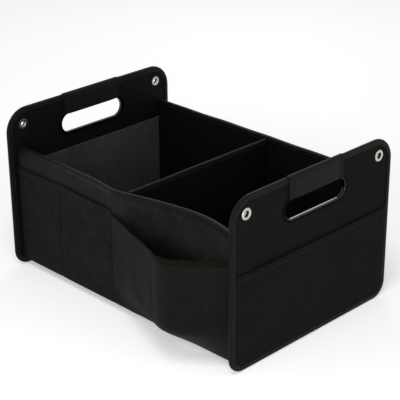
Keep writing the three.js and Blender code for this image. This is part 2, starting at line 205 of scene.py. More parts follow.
def folded_tape(half: float, thickness: float, leg: float, crown: float) -> Grid:
    """The closed section of a tape folded over an edge.

    Each skin is two legs joined by a superellipse; the legs swell a little on both sides of
    the line where they are sewn down.

    Args:
        half: Half the width over the outer faces of the legs.
        thickness: Of the tape.
        leg: Depth of the legs, from the fold.
        crown: Depth at which the fold turns into the legs.

    Returns:
        Rows of (distance across, depth), going round the section.
    """
    turn = np.linspace(-np.pi / 2, np.pi / 2, 17)
    bend_out = np.sign(np.sin(turn)) * np.abs(np.sin(turn)) ** 0.8
    bend_down = 1 - np.abs(np.cos(turn)) ** 0.8
    share = np.linspace(1, 0, 8)[:-1]
    depth = crown + share * (leg - crown)
    swell = 0.16 * np.cos(2 * np.pi * (share * (leg - crown) - 1.0) / 4.2)
    skins = []
    for reach, top, swollen in ((half, 0.0, swell), (half - thickness, thickness, 0 * swell)):
        left = np.stack([-reach - swollen, depth], 1)
        fold = np.stack([reach * bend_out, top + (crown - top) * bend_down], 1)
        skins.append(np.vstack([left, fold, left[::-1] * [-1, 1]]))
    return np.vstack([skins[0], skins[1][::-1]])


# Shaders


class Signal:
    """A number that a shader works out; arithmetic on it adds Math nodes."""

    def __init__(self, shader: Shader, socket: Socket) -> None:
        """Wraps a socket.

        Args:
            shader: The node tree that the socket is in.
            socket: Where the number comes out.
        """
        self.shader = shader
        self.socket = socket

    def math(self, operation: str, *others: Signal | float) -> Signal:
        """Adds one Math node.

        Args:
            operation: The node's operation.
            *others: Its further operands.

        Returns:
            The node's result.
        """
        inputs = dict(enumerate((self, *others)))
        node = self.shader.node("ShaderNodeMath", {"operation": operation}, inputs)
        return Signal(self.shader, node.outputs[0])

    def __add__(self, other: Signal | float) -> Signal:
        """Sum, in either order."""
        return self.math("ADD", other)

    def __sub__(self, other: Signal | float) -> Signal:
        """Difference."""
        return self.math("SUBTRACT", other)

    def __rsub__(self, other: float) -> Signal:
        """Difference from a number on the left."""
        return (self * -1.0) + other

    def __mul__(self, other: Signal | float) -> Signal:
        """Product, in either order."""
        return self.math("MULTIPLY", other)

    __radd__ = __add__
    __rmul__ = __mul__

    def wave(self) -> Signal:
        """Sine of the number, in radians, brought between 0 and 1."""
        return self.math("SINE") * 0.5 + 0.5

    def size(self) -> Signal:
        """The number without its sign."""
        return self.math("ABSOLUTE")

    def larger(self, other: Signal) -> Signal:
        """The larger of two numbers."""
        return self.math("MAXIMUM", other)

    def step(self, low: float, high: float) -> Signal:
        """A smooth step from 0 at low to 1 at high."""
        settings = {"interpolation_type": "SMOOTHSTEP"}
        inputs = {"Value": self, "From Min": low, "From Max": high}
        node = self.shader.node("ShaderNodeMapRange", settings, inputs)
        return Signal(self.shader, node.outputs["Result"])


class Shader:
    """The node tree of a material or of the world."""

    def __init__(self, owner: bpy.types.Material | bpy.types.World) -> None:
        """Empties the tree of its owner."""
        self.owner = owner
        owner.use_nodes = True
        self.tree = owner.node_tree
        self.tree.nodes.clear()

    def node(
        self,
        kind: str,
        settings: dict[str, object] | None = None,
        inputs: dict[str | int, object] | None = None,
    ) -> bpy.types.Node:
        """Adds any node.

        Args:
            kind: The node's type.
            settings: Its properties, set before its inputs.
            inputs: Values or links of its sockets, by name or number.

        Returns:
            The node.
        """
        made = self.tree.nodes.new(kind)
        for key, value in (settings or {}).items():
            setattr(made, key, value)
        for key, value in (inputs or {}).items():
            source = value.socket if isinstance(value, Signal) else value
            if isinstance(source, Socket):
                self.tree.links.new(source, made.inputs[key])
            else:
                made.inputs[key].default_value = source
        return made

    def split(self, vector: Socket) -> list[Signal]:
        """The three parts of a vector."""
        node = self.node("ShaderNodeSeparateXYZ", {}, {"Vector": vector})
        return [Signal(self, node.outputs[axis]) for axis in "XYZ"]

    def cloth(self) -> Socket:
        """The place on the cloth, in metres along and across it."""
        return self.node("ShaderNodeUVMap", {"uv_map": CLOTH}).outputs["UV"]

    def place(self) -> Socket:
        """The place in the object's own metres."""
        return self.node("ShaderNodeTexCoord").outputs["Object"]

    def noise(
        self, where: Socket, scale: float, detail: float = 3.0, rough: float = 0.55
    ) -> Signal:
        """Fractal noise about 0.5.

        Args:
            where: Vector that the noise reads.
            scale: Features a metre.
            detail: Octaves.
            rough: Share of each finer octave.

        Returns:
            The noise.
        """
        inputs = {"Vector": where, "Scale": scale, "Detail": detail, "Roughness": rough}
        return Signal(self, self.node("ShaderNodeTexNoise", {}, inputs).outputs["Fac"])

    def blend(self, share: Signal, low: Triple, high: Triple) -> Socket:
        """The colour between two colours, with a share of 1 for the second."""
        settings = {"data_type": "RGBA", "clamp_factor": True}
        mix = self.node("ShaderNodeMix", settings, {0: share, 6: (*low, 1.0), 7: (*high, 1.0)})
        return mix.outputs[2]

    def seen(self) -> Signal:
        """1 for camera, glossy and transmission rays, and 0 for the rays that light."""
        path = self.node("ShaderNodeLightPath")
        names = ("Is Camera Ray", "Is Glossy Ray", "Is Transmission Ray")
        camera, glossy, through = (Signal(self, path.outputs[name]) for name in names)
        return camera.larger(glossy).larger(through)

    def bump(self, height: Signal, distance: float, strength: float) -> Socket:
        """The normal that heights from 0 to 1 give, a height of 1 standing for a distance."""
        inputs = {"Height": height, "Distance": distance, "Strength": strength}
        return self.node("ShaderNodeBump", {}, inputs).outputs["Normal"]

    def finish(self, **inputs: object) -> bpy.types.Material:
        """Closes the material with a Principled shader.

        Args:
            **inputs: Its sockets by name, with underscores for spaces.

        Returns:
            The finished material.
        """
        named = {key.replace("_", " "): value for key, value in inputs.items()}
        shader = self.node("ShaderNodeBsdfPrincipled", {}, named)
        self.node("ShaderNodeOutputMaterial", {}, {"Surface": shader.outputs["BSDF"]})
        return self.owner


def scaled(tone: Triple, factor: float, warmth: float = 0.0) -> Triple:
    """A colour made lighter or darker, and warmer as worn fibres look."""
    red, green, blue = (part * factor for part in tone)
    return (red * (1 + 0.02 * warmth), green, blue * (1 - 0.05 * warmth))


@dataclass(frozen=True)
class Cloth:
    """A woven or knitted cloth, dyed in one tone.

    Attributes:
        name: Of the material.
        slot: Its material slot; not used.
        tone: Mean colour.
        weave: How its threads cross.
        pitch: Distance between threads or ribs, in metres.
        relief: Height of the threads, in metres.
        roughness: Mean roughness.
        sheen: Light scattered by its fibres at grazing angles.
        gloss: Specular level of the fibres.
        mottle: How unevenly the cloth takes light, from 0 to 1.
        gap_shade: How much lighter its thread crests are than the gaps between them, as painted
            shade in the gaps.
        painted_shade_top: Height below which the cloth is darkened as painted shade, in metres, or
            0 if it has none.
    """

    name: str
    slot: str
    tone: Triple
    weave: Weave = Weave.TWILL
    pitch: float = 0.0040
    relief: float = 0.0003
    roughness: float = 0.8
    sheen: float = 0.012
    gloss: float = 0.05
    mottle: float = 0.5
    gap_shade: float = 0.35
    painted_shade_top: float = 0.0

    def threads(self, shader: Shader, where: Socket) -> Signal:
        """The height of the threads, from 0 to 1.

        Twill is a diagonal sine ridge notched by crossing threads, plain is a product of
        two sines, ribs are one sine, and pile has no threads.

        Args:
            shader: The node tree.
            where: The place on the cloth.

        Returns:
            The height.
        """
        u, v, _ = shader.split(where)
        turn = 2 * math.pi / self.pitch
        if self.weave is Weave.TWILL:
            notch = ((u - v) * (4 * turn)).wave()
            return ((u + v) * turn).wave() * (notch * 0.35 + 0.65)
        if self.weave is Weave.PLAIN:
            return (u * turn).math("SINE") * (v * turn).math("SINE") * 0.5 + 0.5
        if self.weave is Weave.RIBBED:
            return (v * turn).wave() * ((u * (turn * 1.7)).math("SINE") * 0.12 + 0.88)
        return shader.noise(where, 1 / self.pitch, 5.0, 0.75)

    def material(self) -> bpy.types.Material:
        """The cloth's material: threads with painted shade in their gaps, fibres, and patches and
        streaks of uneven dye.
        """
        shader = Shader(bpy.data.materials.new(self.name))
        where, body = shader.cloth(), shader.place()
        threads = self.threads(shader, where)
        fibres = shader.noise(where, 1400.0, 2.0)
        patches = (shader.noise(body, 16.0, 4.0, 0.6) - 0.5) * (1.3 * self.mottle)
        streaks = (shader.noise(body, 105.0, 4.0, 0.7) - 0.5) * (1.5 * self.mottle)
        # Painted shade: in patches the gaps between threads are darkened and the thread crests
        # lightened.
        seen = shader.noise(body, 9.0, 2.0).step(0.3, 0.7) * self.gap_shade
        share = (threads - 0.4) * seen + (fibres - 0.5) * 0.2 + (patches + streaks) + 0.47
        deep = 0.45
        # Painted shade: below the given height the colour is darkened, standing in for the shade
        # inside the pockets, and the blend's dark end goes deeper to carry it.
        if self.painted_shade_top:
            deep = 0.15
            height = shader.split(body)[2]
            share = share - (1.0 - height.step(self.painted_shade_top - 0.035, self.painted_shade_top + 0.02)) * 0.6
        return shader.finish(
            Base_Color=shader.blend(share, scaled(self.tone, deep), scaled(self.tone, 1.6, 1.0)),
            Roughness=(fibres - 0.5) * 0.12 + self.roughness,
            Normal=shader.bump(threads + fibres * 0.3, self.relief, 0.9),
            Specular_IOR_Level=self.gloss,
            Sheen_Weight=self.sheen,
            Sheen_Roughness=0.45,
        )


@dataclass(frozen=True)
class Moulded:
    """Smooth or grained plastic.

    Attributes:
        name: Of the material.
        slot: Its material slot; not used.
        tone: Mean colour.
        roughness: Mean roughness.
        grain: Height of its grain, in metres.
        coat: Weight of a clear gloss over it.
        gloss: Specular level of the plastic itself.
        girth: Half the length round a section that starts and ends in its bore.
        rim: How far from its ends the section has a line of bright gloss, or 0 for none.
    """

    name: str
    slot: str
    tone: Triple
    roughness: float
    grain: float
    coat: float = 0.0
    gloss: float = 0.5
    girth: float = 0.0
    rim: float = 0.0

    def material(self) -> bpy.types.Material:
        """The plastic's material."""
        shader = Shader(bpy.data.materials.new(self.name))
        body = shader.place()
        coat: Signal | float = self.coat
        if self.rim:
            away = (shader.split(shader.cloth())[0] - self.girth).size()
            polished = 1.0 - (away - (self.girth - self.rim)).size().step(0.0006, 0.0011)
            coat = polished * (0.9 - self.coat) + self.coat
        flow = shader.noise(body, 45.0)
        grain = shader.noise(body, 1500.0, 3.0, 0.6)
        rubbed = shader.noise(body, 240.0, 5.0, 0.7).step(0.58, 0.75)
        return shader.finish(
            Base_Color=shader.blend(flow, scaled(self.tone, 0.75), scaled(self.tone, 1.3)),
            Roughness=rubbed * 0.1 + (flow - 0.5) * 0.1 + self.roughness,
            Normal=shader.bump(grain + flow * 2.0, self.grain, 0.6),
            Specular_IOR_Level=self.gloss,
            Coat_Weight=coat,
            Coat_Roughness=0.08,
        )


@dataclass(frozen=True)
class Plated:
    """Bright plated metal with fine tumbling marks; where a section starts in its bore it is
    rougher, and nearly black as painted shade.

    Attributes:
        name: Of the material.
        slot: Its material slot; not used.
        tone: Mean colour.
        roughness: Mean roughness.
        bore_shade_length: Length of the section in the bore that gets the painted shade and is
            roughened, in metres.
    """

    name: str
    slot: str
    tone: Triple
    roughness: float
    bore_shade_length: float

    def material(self) -> bpy.types.Material:
        """The metal's material."""
        shader = Shader(bpy.data.materials.new(self.name))
        body = shader.place()
        bright = shader.split(shader.cloth())[0].step(self.bore_shade_length, self.bore_shade_length * 1.5)
        cloud = shader.noise(body, 260.0, 4.0, 0.6)
        marks = shader.noise(body, 2600.0, 4.0, 0.75).step(0.45, 0.8)
        # Painted shade in the bore: the colour falls nearly to black where the section starts
        # there.
        lit = (cloud * 0.4 + 0.6) * bright
        return shader.finish(
            Base_Color=shader.blend(lit, scaled(self.tone, 0.03), scaled(self.tone, 1.2)),
            Roughness=cloud * 0.14 + marks * 0.12 + (1.0 - bright) * 0.4 + self.roughness,
            Metallic=1.0,
            Normal=shader.bump(marks + cloud, 0.00004, 0.5),
        )


Finish = Cloth | Moulded | Plated

DYED = {"mottle": 1.0, "gap_shade": 0.5}
RIBS = Weave.RIBBED
OUTER = Cloth("outer_polyester", "outer_fabric", (0.0094, 0.0094, 0.0090), **DYED)
# The gusset's cloth: a darker copy of the outer cloth, as painted shade on the gusset.
SHADED_GUSSET = Cloth("gusset_polyester", "outer_fabric", (0.0072, 0.0072, 0.0069), **DYED)
# The front pocket's hem: a lighter copy of the outer cloth, as a painted highlight along the hem.
LIT_HEM = Cloth("pocket_hem", "outer_fabric", (0.0112, 0.0112, 0.0106), **DYED)
# The front wall's cloth: a lighter copy of the outer cloth, as painted light on that wall, with
# painted shade below the pockets' edges.
LIT_WALL = Cloth(
    "wall_polyester", "outer_fabric", (0.0190, 0.0187, 0.0173), mottle=0.55, gap_shade=0.4,
    painted_shade_top=0.172,
)
# The end panels' cloth: the outer polyester with a coarser twill, darker as painted shade on the
# panels.
SHADED_PANEL = Cloth(
    "panel_polyester", "outer_fabric", (0.0064, 0.0064, 0.0063), Weave.TWILL, 0.0054, 0.0004,
    mottle=0.6, gap_shade=1.1,
)
LINING = Cloth(
    "coated_lining", "inner_fabric", (0.0024, 0.0027, 0.0036), Weave.PLAIN, 0.0016, 0.00008,
    0.7, 0.0, 0.08, 0.6,
)
GREY = Cloth("grey_lining", "grey_lining", (0.056, 0.056, 0.0545), Weave.PLAIN, 0.0018, 0.0001)
TAPE = Cloth(
    "binding_tape", "binding_tape", (0.0032, 0.0031, 0.0029), RIBS, 0.0016, 0.0002, 0.45, 0.012,
    0.09, 0.9,
)
INNER_TAPE = Cloth(
    "divider_tape", "binding_tape", (0.0030, 0.0031, 0.0034), RIBS, 0.0016, 0.0002, 0.6, 0.01, 0.1
)
WRAP = Cloth(
    "handle_cloth", "handle_fabric", (0.0052, 0.0045, 0.0040), Weave.PLAIN, 0.0018, 0.0001,
    0.6, 0.012, 0.1, 0.9,
)
ELASTIC = Cloth("elastic_band", "elastic_band", (0.0052, 0.0050, 0.0036), RIBS, 0.0020, 0.00025)
CORDAGE = Cloth(
    "net_cord", "net", (0.0100, 0.0099, 0.0092), RIBS, 0.0006, 0.00005, 0.5, 0.015, 0.1
)
PILE = Cloth(
    "touch_tape", "hook_and_loop", (0.0030, 0.0030, 0.0030), Weave.PILE, 0.0008, 0.0005, 0.95
)
THREAD = Cloth(
    "sewing_thread", "binding_tape", (0.0100, 0.0100, 0.0096), RIBS, 0.0003, 0.00004, 0.5, 0.03,
    0.2,
)
# The seam thread: a darker copy of the sewing thread, as painted shade in the seam creases.
SHADED_SEAM_THREAD = Cloth(
    "seam_thread", "binding_tape", (0.0034, 0.0034, 0.0033), RIBS, 0.0003, 0.00004, 0.5, 0.01,
    0.08,
)
TRIM = Moulded(
    "glossy_edging", "glossy_trim", (0.0014, 0.0014, 0.0014), 0.10, 0.00002, 0.03, 0.015,
    0.0187, 0.0029,
)
BOARD = Moulded("board_plastic", "stiffener_board", (0.0250, 0.0250, 0.0265), 0.55, 0.00006)
NICKEL = Plated("nickel_plate", "nickel", (0.56, 0.54, 0.50), 0.16, 0.0044)


# Meshes


class Workshop:
    """Turns grids of points into finished pieces, and hangs each on the body that it moves with."""

    def __init__(self, middle: float) -> None:
        """Starts with no finish made.

        Args:
            middle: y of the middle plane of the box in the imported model, in metres.
        """
        self.shift = np.array([0.0, middle, 0.0])
        self.made: dict[str, bpy.types.Material] = {}

    def mesh(self, name: str, points: Grid, faces: Sequence[Grid], cloth: Grid) -> Piece:
        """Makes an object of points and of faces of any number of corners.

        Args:
            name: Of the object.
            points: One point a row, in millimetres.
            faces: Arrays of corner numbers, one face a row.
            cloth: For each face's corners in turn, millimetres along and across the cloth.

        Returns:
            The object, smooth but for its sharp edges.
        """
        data = bpy.data.meshes.new(name)
        corners = np.concatenate([np.asarray(f, np.int32).ravel() for f in faces])
        sizes = np.concatenate([np.full(len(f), np.shape(f)[1]) for f in faces])
        starts = np.append(0, np.cumsum(sizes)[:-1]).astype(np.int32)
        data.vertices.add(len(points))
        data.vertices.foreach_set("co", (points * MILLIMETRE + self.shift).ravel())
        data.loops.add(len(corners))
        data.loops.foreach_set("vertex_index", corners)
        data.polygons.add(len(starts))
        data.polygons.foreach_set("loop_start", starts)
        data.uv_layers.new(name=CLOTH).data.foreach_set("uv", (cloth * MILLIMETRE).ravel())
        data.update(calc_edges=True)
        data.validate()
        data.shade_smooth()
        data.set_sharp_from_angle(angle=math.radians(42))
        piece = bpy.data.objects.new(name, data)
        bpy.context.scene.collection.objects.link(piece)
        return piece

    def surface(
        self,
        name: str,
        grid: Grid,
        round_rows: bool = False,
        round_columns: bool = False,
        facing: Triple | None = None,
        cloth: Grid | None = None,
        kept: Mask | None = None,
    ) -> Piece:
        """Makes an object of a grid of points, with quads between them.

        A grid that is closed along its rows only gets a cap on its first and last row.

        Args:
            name: Of the object.
            grid: Points as (rows, columns, 3), in millimetres.
            round_rows: Whether the last row joins the first.
            round_columns: Whether the last column joins the first.
            facing: For an open sheet, a direction that its faces look along.
            cloth: Millimetres along and across the cloth of each point; measured if None.
            kept: Which cells are made, as (rows - 1, columns - 1), or all if None.

        Returns:
            The object, its faces outwards.
        """
        rows, columns = grid.shape[:2]
        cells = np.ones((rows - (not round_rows), columns - (not round_columns)), bool)
        i, j = np.nonzero(cells if kept is None else kept)
        ring = np.array([[0, 0], [0, 1], [1, 1], [1, 0]])
        rows_at, columns_at = i[:, None] + ring[:, 0], j[:, None] + ring[:, 1]
        quads = (rows_at % rows) * columns + columns_at % columns
        flat = self.measured(grid, round_rows, round_columns) if cloth is None else cloth
        uv = [flat[rows_at % len(flat), columns_at % flat.shape[1]]]
        faces = [quads]
        if round_columns and not round_rows:
            ends = np.arange(columns)[::-1], (rows - 1) * columns + np.arange(columns)
            faces += [end[None] for end in ends]
            uv += [flat.reshape(-1, 2)[:columns][None] * 0.5] * 2
        points = grid.reshape(-1, 3)
        if self.inside_out(points, quads, facing, round_columns or round_rows):
            faces = [part[:, ::-1] for part in faces]
            uv[0] = uv[0][:, ::-1]
        if kept is not None:
            used, numbers = np.unique(faces[0], return_inverse=True)
            points, faces = points[used], [numbers.reshape(quads.shape)]
        return self.mesh(name, points, faces, np.vstack([part.reshape(-1, 2) for part in uv]))

    @staticmethod
    def measured(grid: Grid, round_rows: bool, round_columns: bool) -> Grid:
        """Distances along and across a grid, measured on it.

        Args:
            grid: Points as (rows, columns, 3).
            round_rows: Whether the last row joins the first.
            round_columns: Whether the last column joins the first.

        Returns:
            (distance along the columns, distance along the rows) of each point, with a
            further row or column where the grid closes.
        """
        full = np.concatenate([grid, grid[:1]]) if round_rows else grid
        full = np.concatenate([full, full[:, :1]], 1) if round_columns else full
        across = np.linalg.norm(np.diff(full, axis=1), axis=2)
        down = np.linalg.norm(np.diff(full, axis=0), axis=2)
        u = np.pad(np.cumsum(across, axis=1), ((0, 0), (1, 0)))
        v = np.pad(np.cumsum(down, axis=0), ((1, 0), (0, 0)))
        return np.stack([u, v], axis=-1)

    @staticmethod
    def inside_out(points: Grid, quads: Grid, facing: Triple | None, closed: bool) -> bool:
        """Whether a mesh's faces look the wrong way.

        Args:
            points: One point a row.
            quads: Corner numbers, one face a row.
            facing: A direction that an open sheet's faces look along.
            closed: Whether the mesh is a closed body, judged by the sign of its volume.

        Returns:
            True if every face has to be turned over.
        """
        a, b, c, d = (points[quads[:, k]] for k in range(4))
        area = np.cross(c - a, d - b) / 2
        if facing is not None:
            return bool((area.sum(0) * facing).sum() < 0)
        centre = (a + b + c + d) / 4 - points.mean(0)
        return bool(closed and (centre * area).sum() < 0)

    def coat(self, piece: Piece, finish: Finish) -> None:
        """Gives an object a finish, which is made when it is first asked for."""
        if finish.name not in self.made:
            self.made[finish.name] = finish.material()
        piece.data.materials.clear()
        piece.data.materials.append(self.made[finish.name])
        log.info("%s: %d faces, %s", piece.name, len(piece.data.polygons), finish.name)

    def dress(self, piece: Piece, finish: Finish, body: str, *nodes: str) -> Piece:
        """Finishes a new piece.

        Args:
            piece: The object.
            finish: What it is made of.
            body: The body that it moves with.
            *nodes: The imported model's nodes that it stands for.

        Returns:
            The piece.
        """
        self.coat(piece, finish)
        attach(piece, body)
        if nodes:
            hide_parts(*nodes)
        return piece

    def lay(
        self,
        name: str,
        grid: Grid,
        finish: Finish,
        facing: Triple,
        *nodes: str,
        body: str = BOX,
        thickness: float = 0.8,
        **ring: Grid | Mask,
    ) -> Piece:
        """Makes a finished sheet of cloth.

        Args:
            name: Of the piece.
            grid: Points of the face that it shows, as (rows, columns, 3).
            finish: Its cloth.
            facing: A direction that the face looks along.
            *nodes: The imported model's nodes that it stands for.
            body: The body that it moves with.
            thickness: Of the cloth, behind its face.
            **ring: For a sheet whose last column meets its first, surface's cloth and kept.

        Returns:
            The piece.
        """
        piece = self.surface(name, grid, facing=facing, **ring)
        if ring:
            piece.modifiers.new("join", "WELD").merge_threshold = 1e-6
        solid = piece.modifiers.new("thickness", "SOLIDIFY")
        solid.thickness = thickness * MILLIMETRE
        solid.offset = -1.0
        solid.use_even_offset = False
        return self.dress(piece, finish, body, *nodes)

    def tube(
        self,
        name: str,
        grid: Grid,
        finish: Finish,
        *nodes: str,
        body: str = BOX,
        ring: bool = False,
    ) -> Piece:
        """Makes a finished body of closed sections.

        Args:
            name: Of the piece.
            grid: Points, one section a row.
            finish: What it is made of.
            *nodes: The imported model's nodes that it stands for.
            body: The body that it moves with.
            ring: Whether the last section joins the first; otherwise both get a cap.

        Returns:
            The piece.
        """
        return self.dress(self.surface(name, grid, ring, True), finish, body, *nodes)

    def strands(self, name: str, points: Grid, along: Grid, around: Grid) -> Piece:
        """Makes many closed tubes in one object.

        Args:
            name: Of the object.
            points: As (tubes, sections, points of a section, 3), in millimetres.
            along: Millimetres on the cloth from a section to the next.
            around: Millimetres on the cloth from a section's point to the next.

        Returns:
            The object.
        """
        count, length, ring = points.shape[:3]
        i, j = np.meshgrid(np.arange(length - 1), np.arange(ring), indexing="ij")
        after = (j + 1) % ring
        cells = [i * ring + j, i * ring + after, (i + 1) * ring + after, (i + 1) * ring + j]
        ends = [np.arange(ring)[::-1], (length - 1) * ring + np.arange(ring)]
        first = length * ring * np.arange(count)[:, None, None]
        faces = [
            (first + part.reshape(-1, size)).reshape(-1, size)[:, ::-1]
            for part, size in ((np.stack(cells, -1), 4), (np.stack(ends), ring))
        ]
        corners = np.concatenate([f.ravel() for f in faces])[:, None]
        cloth = corners // ring % length * along + corners % ring * around
        return self.mesh(name, points.reshape(-1, 3), faces, cloth)

    def sew(
        self,
        name: str,
        rows: Sequence[tuple[Grid, Triple]],
        finish: Finish = THREAD,
        body: str = BOX,
        pitch: float = 3.4,
        size: float = 0.36,
    ) -> None:
        """Makes rows of sewn thread: each stitch is a bowed spindle of round sections.

        A section's radius follows the root of a half ellipse along the stitch, and its
        middle rises from the cloth by a cosine.

        Args:
            name: Of the piece.
            rows: For each row of stitches its line and the way out of the cloth.
            finish: The thread.
            body: The body that it moves with.
            pitch: Distance between the stitches' starts.
            size: Radius of the thread.
        """
        stations = column(-1, 1, 6)
        turn = np.linspace(0, 2 * np.pi, 5, endpoint=False)
        radius = size * np.sqrt(np.clip(1 - stations**2, 0.06, 1))
        rise = 0.34 * np.cos(stations * np.pi / 2) - 0.12
        # Offsets along the stitch, to its side and out of the cloth, of one spindle's points
        local = placed(0.40 * pitch * stations, radius * np.cos(turn), radius * np.sin(turn) + rise)
        spindles = []
        for line, way in rows:
            length = lengths_along(line)[-1]
            count = max(1, int((length - pitch) // pitch))
            at = (length - count * pitch) / 2 + pitch * (np.arange(count) + 0.5)
            middle = between(line, at)
            tangent = unit(between(line, at + 0.5) - middle)
            side = unit(np.cross(unit(way), tangent))
            frames = np.stack([tangent, side, np.cross(tangent, side)], 1)
            spindles.append(middle[:, None, None] + np.einsum("ijk,nkc->nijc", local, frames))
        steps = np.array([0.5, 0.0]), np.array([0.0, 0.4])
        self.dress(self.strands(name, np.concatenate(spindles), *steps), finish, body)


# Sub-assemblies


@dataclass(frozen=True)
class Layout:
    """The planes, edges and radii that the pieces share, in millimetres."""

    panel_middle: float = 280.0
    panel_depth: float = 400.0
    panel_height: float = 311.0
    top_radius: float = 45.0
    bottom_radius: float = 30.0
    cover_face: float = 2.6
    pocket_face: float = 3.7
    tape_face: float = 3.8
    wrap_back: float = 4.1
    tape: float = 0.9
    tape_width: float = 10.0
    tape_crown: float = 4.2
    stitch_depth: float = 7.7
    hem: float = 0.7
    hem_lift: float = 0.75
    slot_reach: float = 56.5
    slot_radius: float = 18.5
    slot_middle: float = 253.0
    eyelet_y: float = 165.0
    eyelet_z: float = 280.0
    eyelet_bore: float = 4.5
    eyelet_rim: float = 10.5
    wall_outer: float = 179.0
    wall_inner: float = 173.4
    wall_top: float = 240.0
    wall_end: float = 277.1
    foot: float = 12.44
    wall_foot: float = 13.54
    floor_top: float = 17.04
    first_seam: float = -150.1
    second_seam: float = -8.1
    seam_slant: float = 14.0
    lean_out: float = 11.0
    bow_in: float = 26.0
    bow_skew: float = 1.3
    divider_x: float = 16.9
    strip_foot: float = 23.4

    def share(self, z: Grid | float) -> Grid:
        """Heights as shares of a wall's height."""
        return (z - self.foot) / (self.wall_top - self.foot)

    def lean(self, side: Side, x: Grid | float, z: Grid | float) -> Grid:
        """How far a wall stands out at a place and a height; the back wall is straight.

        At the front wall's top a cube law carries the cloth out towards the second seam, and
        past it half a skewed sine wave draws it in behind the net pocket.

        Args:
            side: Which long wall.
            x: Places along the wall.
            z: Heights.

        Returns:
            The distance outwards at each point.
        """
        if side is Side.BACK:
            return 0.0 * x * z
        run = self.wall_end + self.second_seam
        rising = self.lean_out * (np.clip(x + self.wall_end, 0, None) / run) ** 3
        along = np.clip((x - self.second_seam) / (self.wall_end - self.second_seam), 0, 1)
        bow = self.bow_in * np.sin(np.pi * along**self.bow_skew)
        top = np.where(x <= self.second_seam, rising, self.lean_out * (1 - along) - bow)
        return top * self.share(z)

    def slanted(self, x: Grid | float, z: Grid | float) -> Grid:
        """Moves places along a wall so that its columns follow the slanting seams.

        Both seams lean, with their feet nearer the far end; the slant fades out linearly
        from the seams to the two ends of the wall.

        Args:
            x: Places along the wall, where the columns meet its top.
            z: Heights.

        Returns:
            The slanted places.
        """
        stops = [-self.wall_end, self.first_seam, self.second_seam, self.wall_end]
        slant = np.interp(x, stops, [0, self.seam_slant, self.seam_slant, 0])
        return x - slant * (1 - self.share(z))


@dataclass
class Assembly:
    """A sub-assembly, with the workshop that makes it and the sizes that it shares."""

    shop: Workshop
    plan: Layout = Layout()

    def touch_strip(
        self, name: str, side: Side, section: Grid, out: float, top: float, body: str, node: str
    ) -> None:
        """Makes an upright touch tape beside a wall: a flat section carried up along it.

        Args:
            name: Of the piece.
            side: Which long wall.
            section: Rows of (distance along the wall, distance outwards).
            out: Where the section starts, from the box's middle plane, before the lean.
            top: Height of its end.
            body: The body that it moves with.
            node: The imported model's node that it stands for.
        """
        z = column(self.plan.strip_foot, top, 60)
        x = self.plan.divider_x + section[:, 0]
        y = side.value * (out + section[:, 1] + self.plan.lean(side, x, z))
        self.shop.tube(name, placed(x, y, z), PILE, node, body=body)


